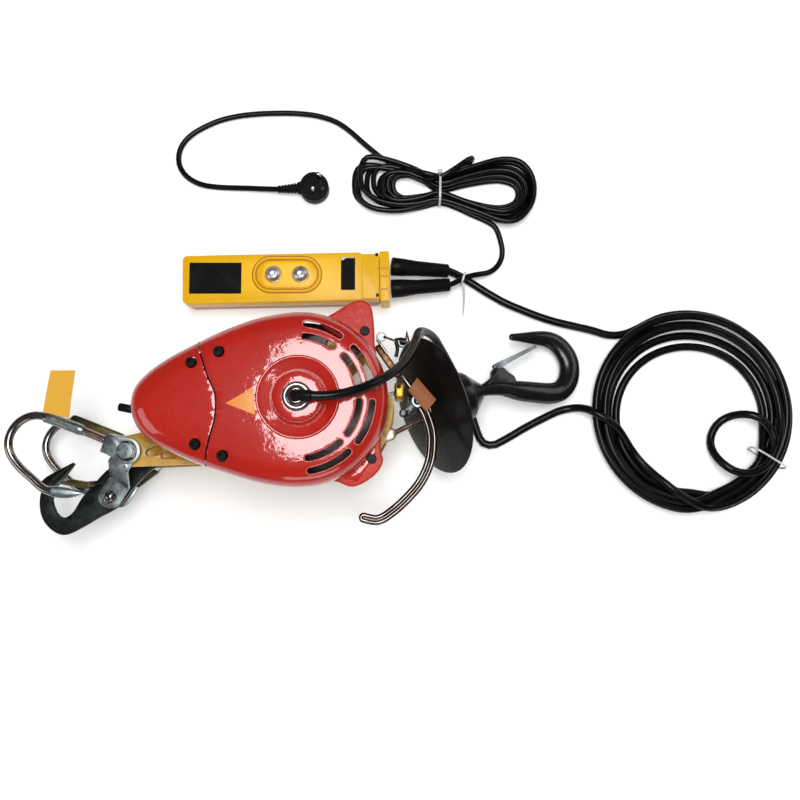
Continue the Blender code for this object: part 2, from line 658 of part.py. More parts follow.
# Hanger ---------------------------------------------------------------------
def build_hanger(bolt_hole):
    rest = place(HANGER_TURN, (*BOLT_XY, 0.0))
    side = [Vector(p) for p in stadium((0, 0), (0.020, 0), 0.0145, 0.0110, 12)]
    side = [p if p.x < 0.020 else Vector((0.0275, math.copysign(0.0110, p.y)))
            for p in side if p.x < 0.020 or abs(abs(p.y) - 0.0110) < 0.0004]
    front = plate("hanger_clevis", side, CHEEK_Z, "zinc_plate", rest)
    low_cheek = (2 * MID_Z - CHEEK_Z[1], 2 * MID_Z - CHEEK_Z[0])
    join(front, plate("rear_cheek", side, low_cheek, None, rest, CUTTERS),
         box("clevis_web", (0.0228, -0.0108, low_cheek[0] + 0.0006),
             (0.0278, 0.0108, CHEEK_Z[1] - 0.0006), None, rest, CUTTERS))
    cut(front, bolt_hole)
    top = CHEEK_Z[1] + GAP
    bottom = low_cheek[0] - GAP
    bolt = post("hanger_bolt", BOLT_XY, 0.0060, top + 0.0030, BOLT_R - 0.0002, "zinc_plate", 20)
    join(bolt, cutter_post("bolt_head", BOLT_XY, top, top + 0.0065, 0.0098, 6))
    nut = post("hanger_nut", BOLT_XY, bottom - 0.0070, bottom, 0.0098, "zinc_plate", 6)
    cut(nut, cutter_post("nut_bore", BOLT_XY, 0.0, 0.02, BOLT_R + 0.0001))
    ring("hanger_spacer", BOLT_R + GAP, 0.0085, (BOSS_BACK_Z[1] + GAP, FRONT_PLATE_Z[0] + 0.0004),
         "zinc_plate", BOLT_XY, 20)

    hoop = (
        (-0.2210, -0.0432), (-0.2336, -0.0378), (-0.2450, -0.0330), (-0.2570, -0.0282),
        (-0.2733, -0.0221), (-0.2903, -0.0160), (-0.3045, -0.0152), (-0.3180, -0.0212),
        (-0.3275, -0.0330), (-0.3306, -0.0467), (-0.3267, -0.0601), (-0.3162, -0.0735),
        (-0.3023, -0.0857), (-0.2905, -0.0958), (-0.2800, -0.0998), (-0.2640, -0.1012),
        (-0.2500, -0.1005))
    for name, z in (("hoop_front", HOOP_Z), ("hoop_rear", 2 * MID_Z - HOOP_Z)):
        points = smooth_route([(*p, z) for p in hoop], 0.0095)
        radii = []
        for i, point in enumerate(points):
            sleeved = -0.289 < point.x < -0.247 and point.y > -0.05
            nose_end = (len(points) - 1 - i) / 2
            radii.append(1.38 if sleeved else min(1.0, 0.45 + 0.25 * nose_end))
        tube(name, points, HOOP_R, "chrome", radii)
    build_links()
    build_latch_hook()


def build_links():
    """Cranked strips from the hanger bolt down to the latch hook's rivet."""
    start, end = Vector(BOLT_XY), Vector(RIVET_XY)
    length = (end - start).length
    turn = math.atan2(end.y - start.y, end.x - start.x)
    rest = place(turn, (*BOLT_XY, 0.0))
    run = ((-0.020, 0.1497), (0.0205, 0.1497), (0.042, 0.1035), (length + 0.02, 0.1035))
    rivet_hole = cutter_post("rivet_hole", RIVET_XY, 0.0, 0.2, 0.0041, 20)
    bolt_hole = cutter_post("link_bolt_hole", BOLT_XY, 0.0, 0.2, BOLT_R + GAP, 20)
    for name, mirror in (("link_front", 1), ("link_rear", -1)):
        maker = bmesh.new()
        rows = []
        for x, z in run:
            height = MID_Z + mirror * (z - MID_Z)
            rows.append([maker.verts.new((x, y, height)) for y in (-0.02, 0.02)])
        for here, there in zip(rows, rows[1:]):
            face = (here[0], there[0], there[1], here[1])
            maker.faces.new(face if mirror > 0 else tuple(reversed(face)))
        strip = add_mesh(name, maker, "zinc_plate")
        strip.matrix_world = rest
        wall = strip.modifiers.new("thickness", "SOLIDIFY")
        wall.thickness = 0.0032
        wall.offset = -1
        shape = plate(f"{name}_shape", stadium((0, 0), (length, 0), 0.0120, 0.0135, 12),
                      (0.0, 0.2), None, rest, CUTTERS)
        combine(strip, shape, "INTERSECT")
        cut(strip, rivet_hole, bolt_hole)
    head = 0.1038
    profile = [(0.0, head + 0.0048), (0.0045, head + 0.0040), (0.0068, head + 0.0015),
               (0.0068, head), (0.0038, head), (0.0038, 0.0999), (0.0068, 0.0999),
               (0.0068, HOOK_PLATE_Z[1] + GAP), (0.0038, HOOK_PLATE_Z[1] + GAP)]
    mirrored = [(r, 2 * MID_Z - z) for r, z in reversed(profile)]
    turned("link_rivet", profile + mirrored, "zinc_plate", (*RIVET_XY, 0.0), 16, closed=False)


def build_latch_hook():
    outline = (
        (-0.1500, -0.0590), (-0.1700, -0.0680), (-0.1860, -0.0770), (-0.2043, -0.0962),
        (-0.2214, -0.1180), (-0.2432, -0.1305), (-0.2590, -0.1400), (-0.2776, -0.1496),
        (-0.2892, -0.1502), (-0.3012, -0.1425), (-0.3097, -0.1311), (-0.3132, -0.1170),
        (-0.3125, -0.1030), (-0.3080, -0.0945), (-0.3000, -0.0940), (-0.2975, -0.1010),
        (-0.2988, -0.1113), (-0.2948, -0.1229), (-0.2895, -0.1290), (-0.2828, -0.1305),
        (-0.2737, -0.1241), (-0.2649, -0.1090), (-0.2560, -0.0980), (-0.2440, -0.0840),
        (-0.2330, -0.0735), (-0.2150, -0.0660), (-0.2030, -0.0675), (-0.1930, -0.0690),
        (-0.1830, -0.0650), (-0.1700, -0.0560), (-0.1570, -0.0500), (-0.1490, -0.0520))
    hook = plate("latch_hook", outline, HOOK_PLATE_Z, "dark_steel")
    beak = []
    for x, y, wide, tall in ((-0.3040, -0.0905, 0.0105, 0.022), (-0.2930, -0.0830, 0.0085, 0.018),
                             (-0.2740, -0.0670, 0.0025, 0.004)):
        across = Vector((-0.62, 0.78, 0)) * wide / 2
        up = Vector((0, 0, tall / 2))
        middle = Vector((x, y, MID_Z + 0.002))
        beak.append([middle - across - up, middle + across - up, middle + across + up,
                     middle - across + up])
    join(hook, loft("latch_beak", beak, None, home=CUTTERS))
    cut(hook, cutter_post("hook_rivet_hole", RIVET_XY, 0.05, 0.12, 0.0043, 20))
    gate = []
    start_x, start_y = GATE_HINGE
    for x, y, wide, tall in ((start_x + 0.0020, start_y, 0.0060, 0.022),
                             (start_x - 0.0100, start_y - 0.0025, 0.0080, 0.022),
                             (start_x - 0.0250, start_y + 0.0005, 0.0080, 0.018),
                             (start_x - 0.0400, start_y, 0.0030, 0.010)):
        middle = Vector((x, y, MID_Z + 0.0180))
        across = Vector((0, wide / 2, 0))
        up = Vector((0, 0, tall / 2 - 0.0040))
        gate.append([middle - across - up, middle - across + up, middle + across + up,
                     middle + across - up])
    bevelled(loft("gate_leaf", gate, "brass"), 0.0006, 1)


# Rope end, disc and load hook -----------------------------------------------
def build_rope_end():
    tube("wire_rope", smooth_route(ROPE_ROUTE, 0.0065), ROPE_R, "wire")
    disc_profile = [(DISC_R, 0.0030), (DISC_R, 0.0012), (0.030, -0.0050), (0.0075, -0.0050),
                    (0.0075, -0.0020), (0.030, -0.0020), (DISC_R - 0.004, 0.0042)]
    turned("limit_disc", disc_profile, "black_rubber", steps=40,
           matrix=rope_frame(DISC_PITCH) @ LAY_ON_X)
    rest = rope_frame(ROPE_PITCH)
    block = [(0.0, 0.0700), (0.0085, 0.0700), (0.0100, 0.0680), (0.0270, 0.0500),
             (0.0300, 0.0460), (0.0300, 0.0180), (0.0270, 0.0140), (0.0060, 0.0140),
             (0.0060, 0.0090), (0.0, 0.0090)]
    turned("hook_block", block, "black_paint", steps=24, closed=False, matrix=rest @ LAY_ON_X)
    # Along the rope, across it, and the width as a share of the shank's
    path = ((0.0712, 0.0000, 0.95), (0.0800, -0.0010, 0.95), (0.0977, -0.0052, 1.15),
            (0.1167, -0.0133, 1.50), (0.1362, -0.0209, 1.56), (0.1579, -0.0285, 1.57),
            (0.1738, -0.0290, 1.57), (0.1877, -0.0210, 1.62), (0.1965, -0.0066, 1.66),
            (0.1988, 0.0082, 1.62), (0.1935, 0.0242, 1.50), (0.1821, 0.0357, 1.30),
            (0.1661, 0.0420, 1.13), (0.1500, 0.0472, 0.82), (0.1340, 0.0522, 0.48))
    guide = smooth_route([Vector((x, y, share / 100)) for x, y, share in path], 0.0085)
    hook = tube("load_hook", [(p.x, p.y, 0.0) for p in guide], HOOK_SHANK_R, "black_paint",
                [p.z * 100 for p in guide])
    hook.matrix_world = rest @ Matrix.Diagonal((1.0, 1.0, HOOK_FLATNESS, 1.0))
    bpy.context.view_layer.update()
    hook = as_mesh(hook)
    lug = plate("hook_lug", [(0.0885, 0.0020), (0.1120, -0.0040), (0.1105, 0.0160),
                             (0.1045, 0.0208), (0.0970, 0.0202)], (-0.0045, 0.0045), None,
                home=CUTTERS)
    lug.matrix_world = rest @ lug.matrix_world
    join(hook, lug)
    latch_rows = []
    for x, y, wide in ((0.1020, 0.0232, 0.0028), (0.1120, 0.0250, 0.0022), (0.1625, 0.0312, 0.0016)):
        across = Vector((-0.22, 0.97, 0)) * wide / 2
        up = Vector((0, 0, 0.0052))
        middle = Vector((x, y, 0))
        latch_rows.append([middle - across - up, middle + across - up, middle + across + up,
                           middle - across + up])
    loft("hook_latch", latch_rows, "zinc_plate", rest)


# Limit lever and rope guide -------------------------------------------------
def build_limit_lever():
    line = ((0.1332, -0.0030), (0.1375, -0.0110), (0.1434, -0.0293), (0.1445, -0.0466),
            (0.1416, -0.0667), (0.1318, -0.0885), (0.1168, -0.1068), (0.0984, -0.1234),
            (0.0824, -0.1325), (0.0660, -0.1300))
    middle = smooth_route([(*p, LEVER_Z) for p in line], 0.012)
    sides = [[], []]
    for i, point in enumerate(middle):
        ahead = middle[min(i + 1, len(middle) - 1)] - middle[max(i - 1, 0)]
        across = Vector((-ahead.y, ahead.x, 0)).normalized() * 0.0045
        sides[0].append(point + across)
        sides[1].append(point - across)
    heading = (middle[-1] - middle[-2]).normalized()
    end_turn = [middle[-1] + heading * 0.0045 * math.sin(math.radians(a))
                + (sides[0][-1] - middle[-1]) * math.cos(math.radians(a))
                for a in range(30, 180, 30)]
    path = sides[0] + end_turn + list(reversed(sides[1]))
    tube("limit_lever", path, LEVER_ROD_R, "chrome")
    ring("lever_hub", 0.0041, 0.0078, (LEVER_Z - 0.0035, LEVER_Z + 0.0060), "zinc_plate",
         LEVER_PIVOT, 20)
    bracket = plate("lever_bracket", [
        (0.1135, 0.0150), (0.1135, -0.0040), (0.1080, -0.0070), (0.1080, -0.0120),
        (0.1140, -0.0135), (0.1200, -0.0130), (0.1330, -0.0110), (0.1385, 0.0020),
        (0.1330, 0.0150)], (0.0940, 0.0990), "black_paint")
    join(bracket, cutter_post("stop_peg", (0.1112, -0.0092), 0.086, 0.104, 0.0046, 16),
         cutter_post("lever_pin", LEVER_PIVOT, 0.0965, LEVER_Z + 0.0070, 0.0038, 16))
    guide = box("rope_guide", (0.1010, 0.0060, 0.0720), (0.1132, 0.0245, 0.1210), "brass")
    bevelled(guide, 0.003, 2)
    cut(guide, cylinder("guide_bore", (0.09, 0.0157, 0.0838), (0.12, 0.0120, 0.0830), 0.0050,
                        None, home=CUTTERS))
    rod = plate("lever_rod", [(0.0850, -0.0330), (0.0850, -0.0450), (0.1005, -0.0400),
                              (0.1045, -0.0335), (0.1010, -0.0270), (0.0900, -0.0250)],
                (0.0850, 0.0925), "zinc_plate")
    join(rod, cylinder("rod_bar", (0.0980, -0.0335, 0.0885), (0.1375, -0.0140, 0.0885), 0.0034,
                       None, sides=16, home=CUTTERS))
    cylinder("guide_arm", (0.0850, 0.0640, 0.1000), (0.1110, 0.0270, 0.1000), 0.0042,
             "bronze", sides=12)


# Pendant --------------------------------------------------------------------
def build_pendant():
    half_x, half_y = PENDANT_SIZE[0] / 2, PENDANT_SIZE[1] / 2
    rest = place(PENDANT_TURN, (*PENDANT_CENTRE, 0.0))
    case = box("pendant_case", (-half_x, -half_y + 0.001, 0.0),
               (half_x, half_y - 0.001, PENDANT_SPLIT_Z), "yellow_plastic", rest)
    bevelled(case, 0.004, 2)
    cut(case, box("case_hollow", (-half_x + 0.0037, -half_y + 0.004, 0.003),
                  (half_x - 0.0037, half_y - 0.004, 0.03), None, rest, CUTTERS))
    face = box("pendant_face", (-half_x, -half_y, PENDANT_SPLIT_Z + GAP),
               (half_x, half_y, PENDANT_TOP_Z), "yellow_plastic", rest)
    bevelled(face, 0.004, 2)
    middle = sum(BUTTON_X) / 2
    rim = plate("button_rim", stadium((middle - 0.0200, BUTTON_Y), (middle + 0.0200, BUTTON_Y),
                                      0.0216, 0.0216, 10),
                (PENDANT_TOP_Z - 0.0015, PENDANT_TOP_Z + 0.0016), None, home=CUTTERS)
    recess = plate("button_recess",
                   stadium((middle - 0.0200, BUTTON_Y), (middle + 0.0200, BUTTON_Y),
                           0.0192, 0.0192, 10),
                   (PENDANT_TOP_Z + 0.0003, PENDANT_TOP_Z + 0.01), None, home=CUTTERS)
    cut(face, box("face_hollow", (-half_x + 0.0037, -half_y + 0.003, 0.0),
                  (half_x - 0.0037, half_y - 0.003, PENDANT_TOP_Z - 0.003), None, rest, CUTTERS))
    join(face, rim)
    cut(face, recess)
    for name, x in (("button_up", BUTTON_X[0]), ("button_down", BUTTON_X[1])):
        cut(face, cutter_post(f"{name}_hole", (x, BUTTON_Y), 0.03, 0.06, BUTTON_R + 0.0004))
        low = PENDANT_TOP_Z - 0.010
        dome = [(0.0, low + 0.0190), (BUTTON_R * 0.45, low + 0.0183), (BUTTON_R * 0.80, low + 0.0165),
                (BUTTON_R * 0.96, low + 0.0142), (BUTTON_R, low + 0.0115), (BUTTON_R, low),
                (0.0, low)]
        turned(name, dome, "chrome", (x, BUTTON_Y, 0.0), 20, closed=False)
    box("switch_block", (-0.045, -0.018, 0.0035), (0.045, 0.018, 0.0325), "black_paint",
        place(PENDANT_TURN, ((BUTTON_X[0] + BUTTON_X[1]) / 2, 0.1640, 0.0)))
    cap = box("pendant_end_cap", (half_x + GAP, -half_y - 0.0012, 0.0),
              (half_x + 0.0125, half_y + 0.0012, PENDANT_TOP_Z - 0.0015), "yellow_plastic", rest)
    bevelled(cap, 0.0025, 2)
    sleeve("mains_sleeve", (0.0968, 0.1535, 0.0250), (0.1708, 0.1598, 0.0201), 0.0075)
    sleeve("control_sleeve", (0.0972, 0.1822, 0.0250), (0.1692, 0.1791, 0.0132), 0.0080)


def sleeve(name, start, end, tip_radius):
    """Tapered rubber strain relief from the end cap to its cord."""
    length = (Vector(end) - Vector(start)).length
    profile = [(0.0, length), (tip_radius, length), (tip_radius + 0.0008, length * 0.55),
               (0.0115, 0.012), (0.0118, 0.0), (0.0, 0.0)]
    turn = (Vector(end) - Vector(start)).to_track_quat("Z", "Y").to_matrix().to_4x4()
    turned(name, profile, "black_rubber", steps=20, closed=False,
           matrix=Matrix.Translation(start) @ turn)


# Cords ----------------------------------------------------------------------
def build_cords():
    tube("mains_lead", smooth_route(MAINS_ROUTE, 0.0120), MAINS_R, "black_rubber")
    tube("mains_tail", smooth_route(TAIL_ROUTE, 0.0160), MAINS_R, "black_rubber")
    tube("control_lead", smooth_route(CONTROL_ROUTE, 0.0200), CONTROL_R, "black_rubber")
    tube("control_tail", smooth_route(GLAND_ROUTE, 0.0170), CONTROL_R, "black_rubber")
    hank = ((0.0450, 0.3280), (0.0440, 0.3080), (0.0450, 0.2870), (0.0620, 0.2640),
            (0.1076, 0.2595), (0.1579, 0.2640), (0.1978, 0.2530), (0.2260, 0.2422),
            (0.2540, 0.2370), (0.2790, 0.2510), (0.2885, 0.2800), (0.2850, 0.3050),
            (0.2730, 0.3240), (0.2495, 0.3340), (0.2060, 0.3230), (0.1606, 0.3100),
            (0.1270, 0.3160), (0.0947, 0.3220), (0.0640, 0.3300))
    plate("mains_hank", smooth_loop([Vector(p) for p in hank], 2), (0.0, HANK_H),
          "black_rubber")
    inner, outer = COIL_R
    edge = 0.006
    turned("control_coil", [
        (outer, COIL_H - edge), (outer, edge), (outer - edge, 0.0), (inner + edge, 0.0),
        (inner, edge), (inner, COIL_H - edge), (inner + edge, COIL_H), (outer - edge, COIL_H)],
        "black_rubber", (*COIL_CENTRE, 0.0), 40)
    build_plug()


def build_plug():
    """Angled two-pin plug: a thick round head with a ribbed neck."""
    head = post("plug", (-0.0030, 0.2885), 0.0003, 0.0240, 0.0185, "black_rubber", 32)
    bevelled(head, 0.003, 2)
    join(head, cylinder("plug_relief", (-0.0482, 0.2871, 0.0102), (-0.0180, 0.2883, 0.0120),
                        0.0052, None, 0.0070, 16, CUTTERS))
    for i, side in enumerate((-1, 1)):
        xy = (0.0010 + side * 0.0035, 0.2885 + side * 0.0088)
        join(head, cutter_post(f"plug_pin_{i}", xy, 0.0200, 0.0430, 0.0024, 12))


def main():
    wide, small = window_cutters()
    bolt_hole = build_frames(wide, small)
    build_drive()
    build_cover()
    build_gland()
    build_hanger(bolt_hole)
    build_rope_end()
    build_limit_lever()
    build_pendant()
    build_cords()


main()
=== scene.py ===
import json
import math

import bmesh
import bpy
from mathutils import Matrix, Vector

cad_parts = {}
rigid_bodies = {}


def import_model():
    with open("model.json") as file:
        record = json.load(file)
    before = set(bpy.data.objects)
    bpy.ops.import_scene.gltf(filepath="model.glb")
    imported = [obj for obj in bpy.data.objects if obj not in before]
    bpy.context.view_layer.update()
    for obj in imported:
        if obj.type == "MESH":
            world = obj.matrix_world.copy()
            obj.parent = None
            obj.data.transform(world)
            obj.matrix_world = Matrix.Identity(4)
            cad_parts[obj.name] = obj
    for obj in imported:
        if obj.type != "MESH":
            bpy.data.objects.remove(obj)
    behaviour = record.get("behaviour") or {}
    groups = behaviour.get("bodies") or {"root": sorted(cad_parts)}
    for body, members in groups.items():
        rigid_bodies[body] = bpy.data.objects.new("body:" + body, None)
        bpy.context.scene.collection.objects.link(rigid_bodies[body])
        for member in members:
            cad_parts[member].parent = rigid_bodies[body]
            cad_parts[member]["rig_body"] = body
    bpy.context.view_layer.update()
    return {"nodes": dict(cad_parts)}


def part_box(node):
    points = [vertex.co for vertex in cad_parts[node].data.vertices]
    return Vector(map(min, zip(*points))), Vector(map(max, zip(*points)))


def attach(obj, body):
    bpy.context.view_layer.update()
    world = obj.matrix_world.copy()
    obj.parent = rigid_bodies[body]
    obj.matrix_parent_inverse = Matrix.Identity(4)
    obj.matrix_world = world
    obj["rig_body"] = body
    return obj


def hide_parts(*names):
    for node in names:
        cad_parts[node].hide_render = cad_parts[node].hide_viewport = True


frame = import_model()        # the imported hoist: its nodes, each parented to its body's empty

# Driving dimensions, in metres, in the frame's own axes ------------------------
MID_Z = 0.084                # middle plane of drum, rope, hanger and hook
COVER_R = 0.095
COVER_LOW, COVER_TOP = 0.1465, 0.2065
COVER_MIDDLE = Vector((-0.03, 0.0))
BOLT = Vector((-0.193, -0.055, 0.0))
RIVET = Vector((-0.226, -0.106, 0.0))
ROPE_YAW, ROPE_PITCH, DISC_PITCH = (math.radians(a) for a in (19, 19.5, 25))
DISC_CENTRE = Vector((0.1445, 0.0, 0.0785))
DISC_R = 0.083
LEVER_Z = 0.105
PENDANT_TURN = math.radians(1.2)
PENDANT_CENTRE = Vector((-0.04, 0.1625, 0.0))
PENDANT_TOP = 0.048
BUTTONS = {"button_up": (-0.049, "up_button"), "button_down": (-0.0155, "down_button")}
BUTTON_Y = 0.1665
BUTTON_R = 0.0105
MAINS_D, CONTROL_D = 0.007, 0.01
COIL_CENTRE = Vector((0.4745, -0.0015, 0.0))
SHARP_ANGLE = 38             # degrees above which a finished edge stays sharp
COVER_WALL = 0.0025
COVER_CUT = (0.19, 0.22)     # heights between which a cutter goes through the cover's top
SEAM_CUT = (0.12, 0.24)      # and through the whole cover
BOSS_HOLE_R = 0.0432
SCREW_HOLE_R = 0.0062
EAR_HEIGHTS = (0.152, 0.168)
BORE_GAP = 0.0003            # play round a button

# Camera, at the photograph's viewing angle --------------------------------------
CAMERA_PLACE = (0.1076, -0.0868, 1.15)
CAMERA_TILT = 5.05           # degrees from straight down, towards +Y
CAMERA_LENS = 40.7


# Node materials ------------------------------------------------------------------
class Shader:
    """A node material under construction, in object coordinates."""

    def __init__(self, name, colour, roughness, metallic=0.0):
        self.material = bpy.data.materials.new(name)
        self.material.use_nodes = True
        self.tree = self.material.node_tree
        self.surface = self.tree.nodes["Principled BSDF"]
        self.colour = colour
        self.set("Base Color", (*colour, 1.0))
        self.set("Roughness", roughness)
        self.set("Metallic", metallic)
        self.place = self.add("TexCoord").outputs["Object"]
        self.normal = None

    def set(self, socket, value):
        self.surface.inputs[socket].default_value = value

    def link(self, start, end):
        self.tree.links.new(start, end)

    def add(self, kind, values=None, links=None):
        """A new node with some inputs set and others joined to outputs."""
        node = self.tree.nodes.new(f"ShaderNode{kind}")
        for key, value in (values or {}).items():
            node.inputs[key].default_value = value
        for key, output in (links or {}).items():
            self.link(output, node.inputs[key])
        return node

    def noise(self, scale, detail):
        values = {"Scale": scale, "Detail": detail}
        return self.add("TexNoise", values, {"Vector": self.place}).outputs["Fac"]

    def spread(self, value, low, high, to_low=0.0, to_high=1.0):
        limits = {"From Min": low, "From Max": high, "To Min": to_low, "To Max": to_high}
        return self.add("MapRange", limits, {"Value": value}).outputs["Result"]

    def cloud(self, scale, detail, *limits):
        """Noise of a scale and detail, spread between limits."""
        return self.spread(self.noise(scale, detail), *limits)

    def tint(self, other, mask):
        """Mix the base colour towards another where the mask is high."""
        base = self.surface.inputs["Base Color"]
        node = self.add("Mix")
        node.data_type = "RGBA"
        if base.is_linked:
            self.link(base.links[0].from_socket, node.inputs["A"])
        else:
            node.inputs["A"].default_value = (*self.colour, 1.0)
        node.inputs["B"].default_value = (*other, 1.0)
        self.link(mask, node.inputs["Factor"])
        self.link(node.outputs["Result"], base)
        return self

    def rough(self, mask):
        self.link(mask, self.surface.inputs["Roughness"])
        return self

    def bump(self, height, depth, strength=1.0):
        node = self.add("Bump", {"Distance": depth, "Strength": strength}, {"Height": height})
        if self.normal:
            self.link(self.normal, node.inputs["Normal"])
        self.normal = node.outputs["Normal"]
        self.link(self.normal, self.surface.inputs["Normal"])
        self.link(self.normal, self.surface.inputs["Coat Normal"])
        return self

    def worn(self, colour, low=0.51, high=0.56):
        """Lighter, rubbed edges."""
        edges = self.add("NewGeometry").outputs["Pointiness"]
        return self.tint(colour, self.spread(edges, low, high))

    def painted_shade_under_cover(self):
        """Mask for painted shade: one inside the round cover, above the drum, and nought elsewhere,
        where the casting is painted near black for the shade under the closed cover.
        """
        parts = self.add("SeparateXYZ", links={"Vector": self.place}).outputs
        flat = self.add("CombineXYZ", links={"X": parts["X"], "Y": parts["Y"]})
        reach = self.add("VectorMath")
        reach.operation = "LENGTH"
        self.link(flat.outputs["Vector"], reach.inputs[0])
        both = self.add("Math")
        both.operation = "MULTIPLY"
        self.link(self.spread(reach.outputs["Value"], 0.0905, 0.0925, 0.97, 0.0), both.inputs[0])
        self.link(self.spread(parts["Z"], 0.1, 0.11), both.inputs[1])
        return both.outputs["Value"]

    def coat(self, weight, roughness):
        self.set("Specular IOR Level", 0.14)
        self.set("Coat Weight", weight)
        self.set("Coat Roughness", roughness)
        return self


def red_paint():
    s = Shader("red_paint", (0.37, 0.0085, 0.003), 0.4).coat(0.9, 0.045)
    s.set("Coat IOR", 1.58)
    s.tint((0.31, 0.007, 0.003), s.cloud(20, 4, 0.42, 0.75, 0.0, 0.6))
    s.tint((0.46, 0.022, 0.012), s.cloud(260, 5, 0.62, 0.76, 0.0, 0.4))
    s.rough(s.cloud(130, 3, 0.3, 0.7, 0.3, 0.45))
    s.bump(s.noise(260, 4), 0.00016, 0.6)
    return s.bump(s.noise(40, 3), 0.0011, 0.4).material


def ear_paint():
    """The same red, rougher, as it is on the cast ears."""
    s = Shader("ear_paint", (0.4, 0.012, 0.005), 0.45).coat(0.12, 0.3)
    s.tint((0.58, 0.06, 0.035), s.cloud(420, 5, 0.58, 0.72, 0.0, 0.4))
    s.rough(s.cloud(210, 3, 0.3, 0.7, 0.3, 0.55))
    return s.bump(s.noise(300, 3), 0.0006, 0.8).material


def casting():
    s = Shader("yellow_casting", (0.4, 0.195, 0.012), 0.42).coat(0.4, 0.2)
    s.tint((0.16, 0.105, 0.016), s.cloud(60, 5, 0.48, 0.66, 0.0, 0.8))
    s.worn((0.62, 0.42, 0.12))
    s.rough(s.cloud(200, 3, 0.3, 0.7, 0.3, 0.55))
    # Painted shade: the casting turns near black inside the round cover, where the closed cover keeps
    # the light out
    s.tint((0.006, 0.006, 0.006), s.painted_shade_under_cover())
    return s.bump(s.noise(900, 4), 0.00025, 0.6).bump(s.noise(160, 3), 0.0006, 0.5).material


def plastic(name, colour, shade, roughness=0.3):
    s = Shader(name, colour, roughness).coat(0.05, 0.12)
    s.tint(shade, s.cloud(16, 3, 0.42, 0.75, 0.0, 0.6))
    s.worn(tuple(min(1.0, c * 1.5 + 0.02) for c in colour), 0.52, 0.6)
    s.rough(s.cloud(240, 3, 0.3, 0.7, roughness - 0.06, roughness + 0.1))
    return s.bump(s.noise(1500, 3), 0.00006, 0.5).bump(s.noise(60, 2), 0.0003, 0.3).material


def rubber(name, colour, roughness, gloss=0.0):
    s = Shader(name, colour, roughness).coat(gloss, 0.14)
    s.set("Specular IOR Level", 0.05)
    lighter = tuple(c * 1.9 + 0.002 for c in colour)
    s.tint(lighter, s.cloud(45, 4, 0.5, 0.72, 0.0, 0.6))
    s.rough(s.cloud(160, 4, 0.3, 0.7, roughness - 0.08, roughness + 0.12))
    return s.bump(s.noise(1300, 3), 0.00006, 0.6).material


def black_paint():
    s = Shader("black_paint", (0.003, 0.003, 0.0033), 0.36).coat(0.45, 0.08)
    s.tint((0.008, 0.0075, 0.007), s.cloud(60, 5, 0.55, 0.75, 0.0, 0.6))
    s.worn((0.03, 0.03, 0.033), 0.55, 0.64)
    s.rough(s.cloud(150, 4, 0.3, 0.7, 0.24, 0.42))
    return s.bump(s.noise(420, 3), 0.00016, 0.6).material


def metal(name, colour, roughness, tint, depth=0.00004):
    s = Shader(name, colour, roughness, 1.0)
    s.tint(tint, s.cloud(55, 5, 0.42, 0.68, 0.0, 0.9))
    s.rough(s.cloud(190, 4, 0.3, 0.7, roughness * 0.75, roughness * 1.4))
    return s.bump(s.noise(1100, 4), depth, 0.7).material


def make_materials():
    return {
        "red_paint": red_paint(),
        "ear_paint": ear_paint(),
        "yellow_casting": casting(),
        "yellow_plastic": plastic("yellow_plastic", (0.68, 0.37, 0.004), (0.6, 0.3, 0.003)),
        # A darker, browner copy of the yellow plastic: painted shade on the lower case, whose sides
        # face away from the light
        "painted_shade_case_plastic": plastic("painted_shade_case_plastic", (0.46, 0.285, 0.2), (0.4, 0.235, 0.16), 0.55),
        # Darker orange for the pendant's grooves: painted shade in the grooves and round the button rim
        "painted_groove_shade": plastic("painted_groove_shade", (0.33, 0.115, 0.002), (0.26, 0.085, 0.002)),
        "black_rubber": rubber("black_rubber", (0.0035, 0.0035, 0.004), 0.5, 0.05),
        "disc_rubber": rubber("disc_rubber", (0.0045, 0.0042, 0.0042), 0.45, 0.16),
        "cable": rubber("cable_sheath", (0.0022, 0.0022, 0.0026), 0.32, 0.2),
        "black_paint": black_paint(),
        "zinc_plate": metal("zinc_plate", (0.25, 0.285, 0.29), 0.32, (0.14, 0.16, 0.16)),
        "chrome": metal("chrome", (0.26, 0.245, 0.235), 0.13, (0.13, 0.11, 0.1)),
        "button_chrome": metal("button_chrome", (0.62, 0.63, 0.62), 0.34, (0.44, 0.45, 0.45)),
        "dark_chrome": metal("dark_chrome", (0.125, 0.108, 0.1), 0.07, (0.06, 0.048, 0.042)),
        "pink_chrome": metal("pink_chrome", (0.36, 0.26, 0.23), 0.2, (0.2, 0.12, 0.1)),
        "dark_steel": metal("dark_steel", (0.022, 0.027, 0.025), 0.4, (0.011, 0.013, 0.012),
                            depth=0.00012),
        "gate_brass": metal("gate_brass", (0.115, 0.095, 0.045), 0.36, (0.05, 0.042, 0.025)),
        "bronze": metal("bronze", (0.11, 0.06, 0.028), 0.42, (0.05, 0.028, 0.015)),
        "brass": metal("brass", (0.52, 0.3, 0.035), 0.3, (0.26, 0.13, 0.015), depth=0.0003),
        "copper": metal("copper", (0.6, 0.25, 0.12), 0.42, (0.4, 0.15, 0.07)),
        "wire": metal("wire", (0.4, 0.4, 0.39), 0.36, (0.2, 0.2, 0.2)),
        "tie_nylon": rubber("tie_nylon", (0.46, 0.46, 0.45), 0.35, 0.3),
        "amber_card": plastic("amber_card", (0.4, 0.205, 0.012), (0.33, 0.155, 0.01), 0.6),
        "orange_card": plastic("orange_card", (0.155, 0.042, 0.003), (0.115, 0.03, 0.003), 0.6),
        "amber_label": plastic("amber_label", (0.5, 0.19, 0.035), (0.42, 0.15, 0.03), 0.35),
        "black_label": rubber("black_label", (0.005, 0.0045, 0.0045), 0.6),
    }


MATERIALS = make_materials()


